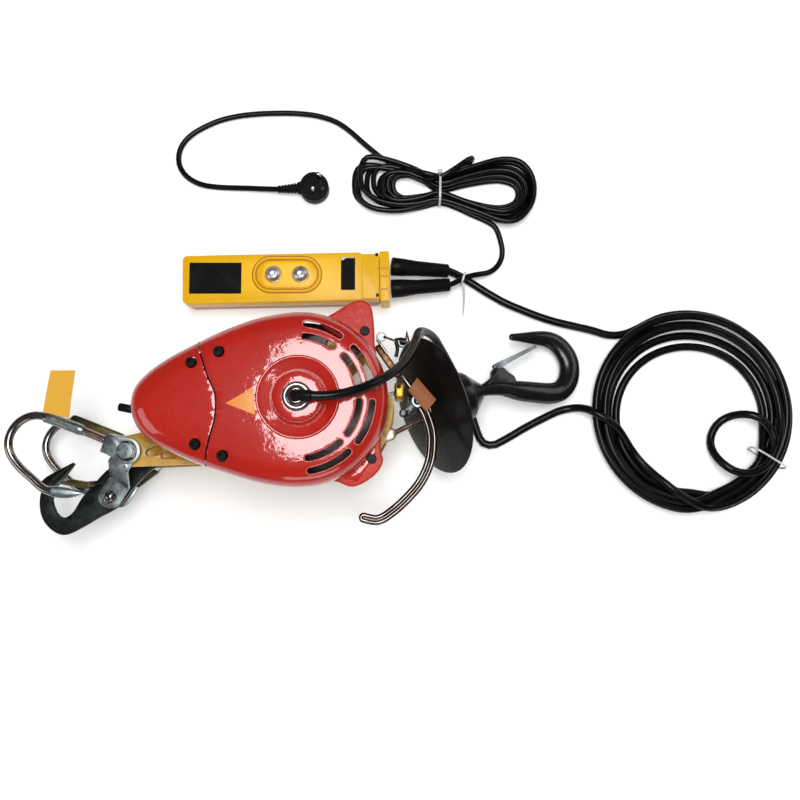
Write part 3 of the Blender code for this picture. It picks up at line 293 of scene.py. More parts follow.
# Shapes ---------------------------------------------------------------------------
def catmull(before, start, end, after, t):
    return 0.5 * (2 * start + (end - before) * t
                  + (2 * before - 5 * start + 4 * end - after) * t ** 2
                  + (3 * start - before - 3 * end + after) * t ** 3)


def smooth_loop(points, per_span):
    points = [Vector(p) for p in points]
    count = len(points)
    return [catmull(points[i - 1], points[i], points[(i + 1) % count],
                    points[(i + 2) % count], step / per_span)
            for i in range(count) for step in range(per_span)]


def smooth_route(points, spacing):
    """Evenly spaced points along the smooth curve through the given ones."""
    points = [Vector(p) for p in points]
    guide = [points[0], *points, points[-1]]
    fine = [catmull(*guide[i:i + 4], step / 10)
            for i in range(len(points) - 1) for step in range(10)]
    fine.append(points[-1])
    lengths = [0.0]
    for here, there in zip(fine, fine[1:]):
        lengths.append(lengths[-1] + (there - here).length)
    count = max(2, round(lengths[-1] / spacing))
    route, index = [], 0
    for step in range(count + 1):
        target = lengths[-1] * step / count
        while index < len(fine) - 2 and lengths[index + 1] < target:
            index += 1
        span = max(lengths[index + 1] - lengths[index], 1e-9)
        route.append(fine[index].lerp(fine[index + 1], (target - lengths[index]) / span))
    return route


def polar(radius, degrees, centre=(0.0, 0.0)):
    angle = math.radians(degrees)
    return Vector((centre[0] + radius * math.cos(angle), centre[1] + radius * math.sin(angle)))


def circle(radius, centre=(0.0, 0.0), steps=36, turn=0.0):
    return [polar(radius, 360 * i / steps + turn, centre) for i in range(steps)]


def at(place):
    """A move to a place, which is on the floor if it gives no height."""
    return Matrix.Translation((*place, 0.0)[:3])


def finished(obj, finish, body="hoist"):
    """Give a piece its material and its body."""
    obj.data.materials.clear()
    obj.data.materials.append(MATERIALS[finish])
    if obj.type == "MESH":
        obj.data.shade_smooth()
        obj.data.set_sharp_from_angle(angle=math.radians(SHARP_ANGLE))
    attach(obj, body)
    return obj


def repainted(node, finish):
    """Show a CAD node as it is, in its own material."""
    obj = frame["nodes"][node]
    obj.data.materials.clear()
    obj.data.materials.append(MATERIALS[finish])


def mesh_object(name, maker, matrix=None):
    if matrix is not None:
        maker.transform(matrix)
    maker.normal_update()
    mesh = bpy.data.meshes.new(name)
    maker.to_mesh(mesh)
    maker.free()
    obj = bpy.data.objects.new(name, mesh)
    bpy.context.scene.collection.objects.link(obj)
    return obj


def applied(obj):
    """The object with its modifiers made part of its mesh."""
    graph = bpy.context.evaluated_depsgraph_get()
    mesh = bpy.data.meshes.new_from_object(obj.evaluated_get(graph))
    if obj.type == "CURVE":
        made = bpy.data.objects.new(obj.name, mesh)
        bpy.context.scene.collection.objects.link(made)
        bpy.data.objects.remove(obj)
        return made
    obj.modifiers.clear()
    obj.data = mesh
    return obj


def boolean(obj, operation, *others):
    for other in others:
        step = obj.modifiers.new("cut", "BOOLEAN")
        step.operation = operation
        step.solver = "EXACT"
        step.object = other
        applied(obj)
        bpy.data.objects.remove(other)
    return obj


def bevelled(obj, width, segments=2, angle=35):
    step = obj.modifiers.new("edges", "BEVEL")
    step.width = width
    step.segments = segments
    step.limit_method = "ANGLE"
    step.angle_limit = math.radians(angle)
    step.harden_normals = False
    return applied(obj)


def skin(maker, rings, closed=False):
    """Faces between neighbouring rings of corners; a ring of one corner is a pole."""
    rows = [[maker.verts.new(p) for p in ring] for ring in rings]
    pairs = list(zip(rows, rows[1:]))
    if closed:
        pairs.append((rows[-1], rows[0]))
    for below, above in pairs:
        count = max(len(below), len(above))
        for i in range(count):
            j = (i + 1) % count
            corners = (below[i % len(below)], below[j % len(below)],
                       above[j % len(above)], above[i % len(above)])
            face = tuple(dict.fromkeys(corners))
            if len(face) > 2:
                maker.faces.new(face)
    return rows


def loft(name, rings, matrix=None, closed=False):
    maker = bmesh.new()
    rows = skin(maker, rings, closed)
    if not closed:
        maker.faces.new(list(reversed(rows[0])))
        maker.faces.new(rows[-1])
    bmesh.ops.recalc_face_normals(maker, faces=maker.faces)
    return mesh_object(name, maker, matrix)


def lathe(name, profile, matrix=None, steps=64, closed=False):
    """A profile of (radius, height) turned about its own Z axis."""
    maker = bmesh.new()
    rings = [[(*p, height) for p in circle(radius, steps=steps if radius > 1e-7 else 1)]
             for radius, height in profile]
    skin(maker, rings, closed)
    bmesh.ops.recalc_face_normals(maker, faces=maker.faces)
    return mesh_object(name, maker, matrix)


def plate(name, outline, low, high, matrix=None):
    return loft(name, [[(p[0], p[1], low) for p in outline], [(p[0], p[1], high) for p in outline]],
                matrix)


def box(name, low, high, matrix=None):
    (x, y), (u, v) = low[:2], high[:2]
    return plate(name, [(x, y), (u, y), (u, v), (x, v)], low[2], high[2], matrix)


def rounded_box(low, high, radius, steps=6):
    """Outline of a rectangle with round corners."""
    points = []
    for x, y, start in ((high[0], high[1], 0), (low[0], high[1], 90), (low[0], low[1], 180),
                        (high[0], low[1], 270)):
        cx = x - math.copysign(radius, x - (low[0] + high[0]) / 2)
        cy = y - math.copysign(radius, y - (low[1] + high[1]) / 2)
        points += [polar(radius, start + 90 * i / steps, (cx, cy)) for i in range(steps + 1)]
    return points


def stadium(start, end, radius, steps=16):
    heading = math.degrees(math.atan2(end[1] - start[1], end[0] - start[0]))
    points = [polar(radius, heading - 90 + 180 * i / steps, end) for i in range(steps + 1)]
    return points + [polar(radius, heading + 90 + 180 * i / steps, start) for i in range(steps + 1)]


def tube(name, points, radius, radii=None, resolution=5, cyclic=False):
    curve = bpy.data.curves.new(name, "CURVE")
    curve.dimensions = "3D"
    curve.bevel_depth = radius
    curve.bevel_resolution = resolution
    curve.use_fill_caps = True
    spline = curve.splines.new("POLY")
    spline.points.add(len(points) - 1)
    for i, (point, spot) in enumerate(zip(spline.points, points)):
        point.co = (*spot, 1.0)
        point.radius = radii[i] if radii else 1.0
    spline.use_cyclic_u = cyclic
    spline.use_smooth = True
    obj = bpy.data.objects.new(name, curve)
    bpy.context.scene.collection.objects.link(obj)
    return obj


def solid_tube(name, points, radius, radii=None, resolution=5, cyclic=False):
    """A tube as a mesh with welded caps."""
    obj = applied(tube(name, points, radius, radii, resolution, cyclic))
    maker = bmesh.new()
    maker.from_mesh(obj.data)
    bmesh.ops.remove_doubles(maker, verts=maker.verts, dist=1e-6)
    maker.to_mesh(obj.data)
    maker.free()
    return obj


def softened(node, finish, width=0.0006, segments=2):
    """A CAD node with its flats joined up and its edges rounded."""
    source = frame["nodes"][node]
    maker = bmesh.new()
    maker.from_mesh(source.data)
    bmesh.ops.remove_doubles(maker, verts=maker.verts, dist=2e-6)
    bmesh.ops.dissolve_limit(maker, angle_limit=math.radians(1.5), verts=maker.verts,
                             edges=maker.edges)
    obj = bevelled(mesh_object(f"{node}_finished", maker), width, segments)
    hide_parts(node)
    return finished(obj, finish, source["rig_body"])


def rope_frame(pitch):
    """Local +X down the rope towards the hook, +Z up out of the hook's plane."""
    return (Matrix.Translation(DISC_CENTRE) @ Matrix.Rotation(ROPE_YAW, 4, "Z")
            @ Matrix.Rotation(pitch, 4, "Y"))


LAY_ON_X = Matrix.Rotation(math.radians(90), 4, "Y")
PENDANT_PLACE = Matrix.Translation(PENDANT_CENTRE) @ Matrix.Rotation(PENDANT_TURN, 4, "Z")


# Camera ---------------------------------------------------------------------------
def build_camera():
    data = bpy.data.cameras.new("camera")
    data.lens = CAMERA_LENS
    data.sensor_width = 36.0
    data.clip_start = 0.01
    camera = bpy.data.objects.new("camera", data)
    camera.location = CAMERA_PLACE
    camera.rotation_euler = (math.radians(CAMERA_TILT), 0.0, 0.0)
    bpy.context.scene.collection.objects.link(camera)
    bpy.context.scene.camera = camera


# Cords ----------------------------------------------------------------------------
MAINS_ROUTE = ((0.171, 0.1598, 0.0201), (0.18, 0.164, 0.0184), (0.191, 0.17, 0.0168),
    (0.202, 0.1735, 0.015), (0.212, 0.1758, 0.0115), (0.224, 0.18, 0.006), (0.2345, 0.1895, 0.0038),
    (0.2395, 0.203, 0.0037), (0.238, 0.219, 0.0037), (0.231, 0.2385, 0.0037), (0.218, 0.2475, 0.0037),
    (0.199, 0.256, 0.0037), (0.18, 0.265, 0.0037),)
TAIL_ROUTE = ((0.087, 0.329, 0.0045), (0.078, 0.3355, 0.0037), (0.06, 0.351, 0.0037),
    (0.041, 0.368, 0.0037), (0.023, 0.38, 0.0037), (0.0, 0.3875, 0.0037), (-0.025, 0.3908, 0.0037),
    (-0.052, 0.3913, 0.0037), (-0.08, 0.3902, 0.0037), (-0.1068, 0.3868, 0.0037),
    (-0.129, 0.381, 0.0037), (-0.148, 0.3725, 0.0037), (-0.164, 0.3625, 0.0037),
    (-0.1755, 0.35, 0.0037), (-0.1805, 0.3365, 0.0037), (-0.18, 0.323, 0.0037), (-0.174, 0.311, 0.0037),
    (-0.164, 0.302, 0.0037), (-0.15, 0.2955, 0.0037), (-0.133, 0.2925, 0.0037),
    (-0.113, 0.2912, 0.0038), (-0.092, 0.2905, 0.0045), (-0.07, 0.2888, 0.007), (-0.05, 0.2872, 0.01),)
CONTROL_ROUTE = ((0.385, 0.0975, 0.0052), (0.37, 0.0985, 0.0052), (0.354, 0.1035, 0.0052),
    (0.331, 0.109, 0.0052), (0.307, 0.1147, 0.0052), (0.285, 0.1217, 0.0052), (0.264, 0.13, 0.0052),
    (0.242, 0.1395, 0.0052), (0.222, 0.1508, 0.0052), (0.206, 0.161, 0.0052), (0.191, 0.1705, 0.0058),
    (0.179, 0.176, 0.0095), (0.1694, 0.1791, 0.0131),)
GLAND_ROUTE = ((0.0176, -0.0015, 0.2349), (0.032, -0.0015, 0.2335), (0.05, 0.0015, 0.23),
    (0.069, 0.0075, 0.2245), (0.086, 0.0165, 0.2135), (0.101, 0.028, 0.195), (0.1125, 0.0415, 0.1735),
    (0.121, 0.058, 0.151), (0.1262, 0.074, 0.129), (0.13, 0.0855, 0.105), (0.1385, 0.0892, 0.08),
    (0.149, 0.0865, 0.055), (0.158, 0.0765, 0.034), (0.168, 0.062, 0.018), (0.178, 0.044, 0.0085),
    (0.187, 0.025, 0.0055), (0.195, 0.005, 0.0052), (0.201, -0.013, 0.0052), (0.206, -0.0285, 0.0052),
    (0.2125, -0.04, 0.0052), (0.225, -0.043, 0.0052), (0.2382, -0.0372, 0.0052),
    (0.2519, -0.0294, 0.0052), (0.2668, -0.0207, 0.0052), (0.2818, -0.0128, 0.0052),
    (0.2959, -0.0058, 0.0052), (0.3094, 0.0002, 0.0052), (0.323, 0.0034, 0.006), (0.334, 0.0038, 0.011),
    (0.344, 0.0012, 0.019), (0.3545, -0.005, 0.0245), (0.3665, -0.0125, 0.0252),
    (0.378, -0.0215, 0.0235), (0.3885, -0.034, 0.016), (0.3985, -0.048, 0.0095),
    (0.4105, -0.064, 0.0095), (0.425, -0.08, 0.0165), (0.438, -0.092, 0.0235), (0.45, -0.102, 0.0252),
    (0.464, -0.111, 0.0248), (0.48, -0.118, 0.0205), (0.494, -0.1205, 0.016),)
UPPER_LANES = (0.12, 0.1095, 0.0985)
LOWER_LANES = (0.093, 0.104, 0.115, 0.1258)
LAYER_Z = (0.0052, 0.0151, 0.0252)
COIL_DRIFT = 0.25            # how far a smaller turn's centre lies below the largest one's
UPPER_STRAY = 0.0045         # outward shift of the upper layer at the far side of the coil
SLACK_START = 330
SLACK_R = 0.037


def ease(t):
    t = min(1.0, max(0.0, t))
    return t * t * (3 - 2 * t)


def lane_spot(lanes, angle, stray, height):
    """A place on the coil; each turn moves to its next lane between 270 and 290 degrees."""
    turn = math.floor((angle - 270) / 360) + 1
    share = ease(((angle - 270) % 360) / 20)
    here = lanes[min(max(turn, 0), len(lanes) - 1)]
    before = lanes[min(max(turn - 1, 0), len(lanes) - 1)]
    radius = before + (here - before) * share
    lift = max(0.0, math.cos(math.radians(angle - 95))) ** 1.5
    wobble = 0.0007 * math.sin(math.radians(3 * angle) + turn)
    spot = polar(radius + stray * lift + wobble, angle, COIL_CENTRE)
    return Vector((spot.x, spot.y - COIL_DRIFT * (LOWER_LANES[-1] - radius), height))


def height_along(stops, angle):
    """Height at an angle, eased between (angle, height) stops."""
    for (low, start), (high, end) in zip(stops, stops[1:]):
        if angle <= high:
            return start + (end - start) * ease((angle - low) / (high - low))
    return stops[-1][1]


def control_points():
    low, middle, top = LAYER_Z
    first = [lane_spot(UPPER_LANES, a, UPPER_STRAY, middle) for a in range(-66, SLACK_START, 15)]
    touch = lane_spot(UPPER_LANES, SLACK_START, UPPER_STRAY, middle)
    centre = polar(-SLACK_R, SLACK_START, touch)
    stops = ((-30, middle), (0, top), (60, top), (130, low), (170, low), (240, top), (330, top))
    slack = [Vector((*polar(SLACK_R, a, centre), height_along(stops, a)))
             for a in range(-30, 331, 18)]
    down = ((SLACK_START, top), (SLACK_START + 45, middle), (2000, middle))
    second = [lane_spot(UPPER_LANES, a, UPPER_STRAY, height_along(down, a))
              for a in range(SLACK_START + 15, 699, 15)]
    lower = [lane_spot(LOWER_LANES, a, 0.0, low) for a in range(0, 1191, 15)]
    leave = [Vector((0.412, 0.1065, low)), Vector((0.399, 0.1005, low))]
    route = [*map(Vector, GLAND_ROUTE), *first, *slack, *second, *lower, *leave,
             *map(Vector, CONTROL_ROUTE)]
    return smooth_route(route, 0.008)


RIGHT_OUTER = ((0.1592, 0.302), (0.198, 0.315), (0.2369, 0.3262), (0.2627, 0.3235), (0.277, 0.3075),
    (0.2815, 0.2855), (0.2765, 0.263), (0.2592, 0.2432), (0.2361, 0.2432), (0.204, 0.256),
    (0.1591, 0.271))
RIGHT_INNER = ((0.1592, 0.288), (0.1914, 0.2945), (0.22, 0.2995), (0.24, 0.3), (0.256, 0.294),
    (0.261, 0.283), (0.256, 0.271), (0.24, 0.265), (0.22, 0.2665), (0.19, 0.274), (0.1591, 0.281))
# Short fold that stands out of the hank, and the lead's way over the tie
FOLD_ROUTE = ((0.16, 0.2985, 0.0265), (0.178, 0.309, 0.0268), (0.192, 0.3195, 0.025),
    (0.2, 0.3255, 0.019), (0.2, 0.3255, 0.01), (0.191, 0.318, 0.005), (0.177, 0.3085, 0.008),
    (0.16, 0.301, 0.02), (0.143, 0.303, 0.0235), (0.124, 0.3095, 0.02), (0.106, 0.3185, 0.011))
LEFT_OUTER = ((0.1591, 0.271), (0.1308, 0.2645), (0.1012, 0.2606), (0.07, 0.2655), (0.052, 0.2785),
    (0.0485, 0.2947), (0.0505, 0.312), (0.06, 0.3215), (0.0882, 0.319), (0.127, 0.3085),
    (0.1592, 0.302))
LEFT_INNER = ((0.1591, 0.281), (0.1334, 0.277), (0.1076, 0.274), (0.0819, 0.2745), (0.066, 0.2825),
    (0.062, 0.294), (0.066, 0.305), (0.0818, 0.31), (0.1076, 0.308), (0.1334, 0.299), (0.1592, 0.288))
# lane at the right, lane at the left, reach to the left, lean of the left end, height
HANK_LOOPS = ((0.0, 0.0, 1.0, 0.0, 0.0037), (0.33, 0.42, 0.9, 0.003, 0.0037),
    (0.66, 0.86, 0.79, -0.002, 0.0037), (1.0, 1.35, 0.66, 0.0, 0.0037),
    (0.15, 0.12, 0.97, -0.006, 0.0107), (0.5, 0.62, 0.84, 0.005, 0.0107),
    (0.84, 1.15, 0.71, -0.003, 0.0107), (0.08, 0.05, 0.93, 0.008, 0.0177),
    (0.62, 0.95, 0.76, -0.006, 0.0177))


def hank_side(outer, inner, lane, reach, lean, low, high):
    tie_x = outer[0][0]
    points = []
    for i, (out, inn) in enumerate(zip(outer, inner)):
        spot = Vector(out) + (Vector(inn) - Vector(out)) * lane
        if spot.x < tie_x:
            spot.x = tie_x - (tie_x - spot.x) * reach
            spot.y += lean * (tie_x - spot.x) / 0.11
        points.append(Vector((*spot, low + (high - low) * ease(i / (len(outer) - 1)))))
    return points


def mains_points():
    route = [Vector(p) for p in MAINS_ROUTE]
    for i, (_, lane, reach, lean, height) in enumerate(HANK_LOOPS):
        following = HANK_LOOPS[min(i + 1, len(HANK_LOOPS) - 1)]
        left = hank_side(LEFT_OUTER, LEFT_INNER, lane, reach, lean, height, following[4])
        right = hank_side(RIGHT_OUTER, RIGHT_INNER, following[0], 1.0, 0.0,
                          following[4], following[4])
        route += left[:-1]
        if i < len(HANK_LOOPS) - 1:
            route += right[:-1]
    route += [Vector(p) for p in FOLD_ROUTE]
    route += [Vector(p) for p in TAIL_ROUTE]
    return smooth_route(route, 0.0065)


def length_of(points):
    return sum((b - a).length for a, b in zip(points, points[1:]))


def build_cords():
    control = control_points()
    cable = finished(tube("control_cable", control, CONTROL_D / 2, resolution=6), "cable")
    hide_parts("control_lead", "control_coil", "control_tail")
    mains = mains_points()
    lead = finished(tube("mains_cable", mains, MAINS_D / 2, resolution=6), "cable")
    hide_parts("mains_lead", "mains_hank", "mains_tail")
    plug = build_plug()
    print("CORDS", round(length_of(control), 3), round(length_of(mains), 3))


# Cover ----------------------------------------------------------------------------
NOSE_POINTS = ((-0.025, 0.0925), (-0.051, 0.0867), (-0.084, 0.0742), (-0.114, 0.06), (-0.1425, 0.0446),
    (-0.164, 0.029), (-0.1775, 0.0135), (-0.182, -0.003), (-0.18, -0.019), (-0.1715, -0.0345),
    (-0.157, -0.0475), (-0.13, -0.0612), (-0.105, -0.0712), (-0.08, -0.0795), (-0.05, -0.0885),
    (-0.025, -0.0935),)
SEAM = ((-0.107, 0.13), (-0.107, 0.08), (-0.1085, 0.0565), (-0.103, 0.042), (-0.096, 0.022),
    (-0.088, 0.005), (-0.0865, -0.008), (-0.088, -0.025), (-0.094, -0.046), (-0.0997, -0.072),
    (-0.104, -0.09), (-0.107, -0.13))
COVER_SCREWS = ((-0.113, 0.037), (-0.084, 0.0485), (-0.1075, -0.0495), (-0.0786, -0.0617))
NOSE_SCREWS = (0, 2)         # which of the cover screws hold the nose half
EAR_SCREWS = ((0.069, 0.076), (0.077, -0.064))
VENT_RADII = (0.065, 0.0785)
VENT_SPANS = ((53, 87), (9, 45), (-39, -1), (-83, -44))
VENT_WIDTH = 0.0076
COVER_ROWS = ((0.0, COVER_LOW), (0.0, 0.15), (0.0, 0.165), (0.0, 0.178), (0.0004, 0.1816),
    (0.0012, 0.1852), (0.0024, 0.1888), (0.0043, 0.1922), (0.0066, 0.195), (0.0095, 0.1974),
    (0.013, 0.1994), (0.0168, 0.2009), (0.0205, 0.2021))
UPPER_EAR = ((0.02, 0.086), (0.038, 0.0985), (0.054, 0.1082), (0.0668, 0.1105), (0.0755, 0.1035),
    (0.0785, 0.088), (0.0795, 0.065), (0.08, 0.045), (0.055, 0.06), (0.03, 0.075))
LOWER_EAR = ((0.086, -0.036), (0.0862, -0.053), (0.0885, -0.069), (0.077, -0.084), (0.057, -0.0942),
    (0.04, -0.089), (0.025, -0.086), (0.04, -0.07), (0.06, -0.055), (0.075, -0.04))


def inset(outline, distance):
    """The outline moved inwards; it runs anticlockwise."""
    moved = []
    for i, point in enumerate(outline):
        along = (outline[(i + 1) % len(outline)] - outline[i - 1]).normalized()
        moved.append(point + Vector((-along.y, along.x)) * distance)
    return moved


def cover_outline():
    round_end = [polar(COVER_R, angle) for angle in range(-90, 91, 15)]
    return smooth_loop([*round_end, *NOSE_POINTS], 6)


def arc_slot(radius, low, high, width, steps=14):
    outer = [polar(radius + width / 2, low + (high - low) * i / steps) for i in range(steps + 1)]
    inner = [polar(radius - width / 2, high - (high - low) * i / steps) for i in range(steps + 1)]
    cap_high = [polar(width / 2, high + 22.5 * i, polar(radius, high)) for i in range(1, 8)]
    cap_low = [polar(width / 2, low + 180 + 22.5 * i, polar(radius, low)) for i in range(1, 8)]
    return outer + cap_high + inner + cap_low


def crown(share):
    """Height of the cover's domed top, at a share of the way out to its rounded edge."""
    return COVER_ROWS[-1][1] + (COVER_TOP - COVER_ROWS[-1][1]) * (1 - share ** 2.6)


def cover_height(spot):
    """Height of the cover's top, away from its rounded edge."""
    away = Vector(spot) - COVER_MIDDLE
    reach = max((p - COVER_MIDDLE).dot(away.normalized())
                for p in inset(cover_outline(), COVER_ROWS[-1][0])
                if (p - COVER_MIDDLE).angle(away) < 0.08)
    return crown(min(1.0, away.length / reach))


def cover_shell():
    """The cover as one thin shell, before it is cut at its seam."""
    outline = cover_outline()
    rings = [[(*p, z) for p in inset(outline, distance)] for distance, z in COVER_ROWS]
    last = inset(outline, COVER_ROWS[-1][0])
    for share in (0.94, 0.88, 0.82, 0.75, 0.67, 0.58, 0.48, 0.37, 0.25, 0.12):
        rings.append([(*(COVER_MIDDLE + (p - COVER_MIDDLE) * share), crown(share)) for p in last])
    maker = bmesh.new()
    maker.faces.new(skin(maker, rings)[-1])
    shell = mesh_object("main_cover_shell", maker)
    wall = shell.modifiers.new("wall", "SOLIDIFY")
    wall.thickness = COVER_WALL
    wall.offset = -1
    return applied(shell)


def build_shells(seam):
    """The cover's two halves, with their screw holes, vents and the boss's opening."""
    shell = cover_shell()
    nose = shell.copy()
    nose.data = shell.data.copy()
    nose.name = "nose_cover_shell"
    bpy.context.scene.collection.objects.link(nose)
    left_side = [(-0.3, 0.13), (-0.3, -0.13), *((p.x, p.y) for p in reversed(seam))]
    right_side = [(x + 0.002, y) for x, y in left_side]
    boolean(nose, "INTERSECT", plate("seam_left", left_side, *SEAM_CUT))
    boolean(shell, "DIFFERENCE", plate("seam_right", right_side, *SEAM_CUT))
    holes = [plate("boss_hole", circle(BOSS_HOLE_R, steps=72), *COVER_CUT)]
    for low, high in VENT_SPANS:
        for radius in VENT_RADII:
            slot = arc_slot(radius, low + 3, high - 3, VENT_WIDTH)
            holes.append(plate("vent", slot, *COVER_CUT))
    for i, xy in enumerate(COVER_SCREWS):
        hole = plate("screw_hole", circle(SCREW_HOLE_R, xy, 30), *COVER_CUT)
        if i in NOSE_SCREWS:
            boolean(nose, "DIFFERENCE", hole)
        else:
            holes.append(hole)
    boolean(shell, "DIFFERENCE", *holes)
    for obj, node in ((shell, "main_cover"), (nose, "nose_cover")):
        finished(bevelled(obj, 0.0007, 3, 50), "red_paint")
        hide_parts(node)


def build_ears():
    for name, points in (("upper_ear", UPPER_EAR), ("lower_ear", tuple(reversed(LOWER_EAR)))):
        ear = plate(name, smooth_loop(points, 5), *EAR_HEIGHTS)
        finished(bevelled(ear, 0.0028, 4, 50), "ear_paint")
    facet = ((0.0459, -0.0852), (0.0717, -0.0635), (0.0805, -0.051), (0.0805, -0.0614),
             (0.0614, -0.0883))
    finished(bevelled(plate("lower_ear_facet", facet, 0.167, 0.169), 0.0008, 2, 30), "red_paint")


def build_cover():
    seam = smooth_route([(*p, 0.0) for p in SEAM], 0.004)
    build_shells(seam)
    boss = lathe("cover_boss", [
        (0.011, 0.206), (0.011, 0.212), (0.0118, 0.2129), (0.015, 0.2131), (0.025, 0.2128),
        (0.0262, 0.2122), (0.0268, 0.2108), (0.0271, 0.2036), (0.0274, 0.2033), (0.03, 0.204),
        (0.0345, 0.2052), (0.0385, 0.2063), (0.0402, 0.2068), (0.0416, 0.2074), (0.0426, 0.2078),
        (0.0434, 0.2077), (0.0441, 0.207), (0.0446, 0.2056), (0.0446, 0.204), (0.042, 0.2015),
        (0.02, 0.2005)], steps=128)
    finished(boss, "red_paint")
    build_ears()
    for low, high in VENT_SPANS:
        for radius in VENT_RADII:
            lip = [(*p, cover_height(p) - 0.0004)
                   for p in arc_slot(radius, low + 3, high - 3, VENT_WIDTH + 0.0006)]
            finished(solid_tube("vent_lip", lip, 0.0009, resolution=3, cyclic=True), "red_paint")
    for i, xy in enumerate(COVER_SCREWS):
        socket_screw(f"cover_screw_{i + 1}", xy, 0.2072, 0.0035)
    for i, xy in enumerate(EAR_SCREWS):
        socket_screw(f"ear_screw_{i + 1}", xy, 0.1705, 0.0011)
    # Painted shadow: a thin black strip just under the shell along the seam, so that the seam's gap
    # reads dark; it is no gasket
    seal_and_seam_shadow = [(p.x + 0.001, p.y, cover_height((p.x, p.y)) - 0.0035) for p in seam
            if abs(p.y) < 0.05]
    finished(solid_tube("seam_shadow_strip", seal_and_seam_shadow, 0.0019, resolution=4), "black_rubber")
    triangle = ((-0.0757, -0.0067), (-0.0437, -0.0193), (-0.0462, 0.0101))
    label = plate("triangle_label", triangle, 0.2052, 0.2068)
    finished(bevelled(label, 0.0006, 2, 30), "amber_label")


def socket_screw(node, xy, top, deep):
    """Black cap screw with a hexagon socket."""
    head = lathe(f"{node}_head", [(0.0, top - 0.012), (0.0053, top - 0.012), (0.0053, top - 0.0008),
                                  (0.0046, top), (0.0, top)], at(xy), 32)
    socket = plate("socket", circle(0.0026, xy, 6, 10), top - deep, top + 0.01)
    boolean(head, "DIFFERENCE", socket)
    finished(head, "black_rubber", "hoist")
    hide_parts(node)


# Hanger ---------------------------------------------------------------------------
HOOP = ((-0.221, -0.0432), (-0.2336, -0.0378), (-0.245, -0.033), (-0.257, -0.0282), (-0.2733, -0.0221),
    (-0.2903, -0.016), (-0.3045, -0.0152), (-0.318, -0.0212), (-0.3275, -0.033), (-0.3306, -0.0467),
    (-0.3267, -0.0601), (-0.3162, -0.0735), (-0.3023, -0.0857), (-0.2905, -0.0958), (-0.28, -0.0998))
HOOP_Z = 0.138
HOOP_R = 0.0048


def bar_between(name, start, end, wide, thick, round_ends=0.9):
    """Straight bar with rounded edges and ends, wide in the XY plane."""
    start, end = Vector(start), Vector(end)
    along = (end - start).normalized()
    across = Vector((-along.y, along.x, 0.0)).normalized()
    up = along.cross(across)
    length = (end - start).length
    rings = []
    for step, share in ((0.0, 0.45), (0.02, 0.78), (0.06, 0.96), (0.12, 1.0), (0.88, 1.0),
                        (0.94, 0.96), (0.98, 0.78), (1.0, 0.45)):
        share = 1 - (1 - share) * round_ends
        ring = []
        for angle in range(0, 360, 15):
            c, v = math.cos(math.radians(angle)), math.sin(math.radians(angle))
            x = math.copysign(abs(c) ** 0.5, c) * wide / 2 * share
            y = math.copysign(abs(v) ** 0.5, v) * thick / 2 * share
            ring.append(start + along * length * step + across * x + up * y)
        rings.append(ring)
    return loft(name, rings)


def build_hoops():
    for node, z in (("hoop_front", HOOP_Z), ("hoop_rear", 2 * MID_Z - HOOP_Z)):
        points = smooth_route([(*p, z) for p in HOOP], 0.003)
        radii = [0.7 if p.x > -0.247 and p.y > -0.05 else 1.0 for p in points]
        bow = solid_tube(f"{node}_bow", points, HOOP_R, radii, 7)
        finished(bow, "chrome", "hanger")
        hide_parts(node)
        lens = [(-0.289, 0.006, 0.006), (-0.285, 0.0098, 0.008), (-0.278, 0.0125, 0.0078),
                (-0.27, 0.0132, 0.0066), (-0.261, 0.0112, 0.005), (-0.253, 0.007, 0.0034),
                (-0.248, 0.003, 0.0018)]
        rings = []
        for i, (x, wide, thick) in enumerate(lens):
            middle = Vector((x, -0.0968 - 0.0047 * (x + 0.289) / 0.041 - wide * 0.12, z))
            rings.append([middle + Vector((0.0, math.cos(math.radians(a)) * wide / 2,
                                           math.sin(math.radians(a)) * thick / 2))
                          for a in range(0, 360, 18)])
        finished(loft(f"{node}_nose", rings), "zinc_plate", "hanger")
    sleeve = [Vector((-0.2895, -0.0163, HOOP_Z)), Vector((-0.2733, -0.0221, HOOP_Z)),
              Vector((-0.26, -0.0271, HOOP_Z)), Vector((-0.2465, -0.0323, HOOP_Z))]
    route = smooth_route(sleeve, 0.002)
    radii = [1.0 - 0.12 * ((i / (len(route) - 1)) > 0.93 or i == 0) for i in range(len(route))]
    finished(solid_tube("hoop_front_sleeve", route, 0.0064, radii, 7), "zinc_plate", "hanger")
    collar = [route[0] + Vector((0.0005, 0, 0)), route[0] + (route[1] - route[0]) * 1.3]
    finished(solid_tube("hoop_front_collar", collar, 0.0067, resolution=7), "chrome", "hanger")
    shank = [Vector((-0.247, -0.0321, HOOP_Z)), Vector((-0.2235, -0.0418, HOOP_Z))]
    finished(solid_tube("hoop_front_shank", shank, 0.0046, resolution=7), "pink_chrome", "hanger")
    bar = bar_between("hoop_rear_sleeve", (-0.301, -0.012, 0.03), (-0.234, -0.0385, 0.03),
                      0.015, 0.01)
    finished(bar, "gate_brass", "hanger")


def hex_head(node, xy, low, high, radius, finish, body, turn=0.0):
    """Hexagon with chamfered corners and a washer face."""
    head = plate(f"{node}_hex", circle(radius, xy, 6, turn), low, high)
    cone = lathe("chamfer", [(0.0, low - 0.01), (radius * 1.2, low - 0.01),
                             (radius * 1.2, high - 0.0024), (radius * 0.83, high + 0.0002),
                             (0.0, high + 0.0004)], at(xy), 48)
    boolean(head, "INTERSECT", cone)
    finished(bevelled(head, 0.0005, 2, 25), finish, body)
    return head


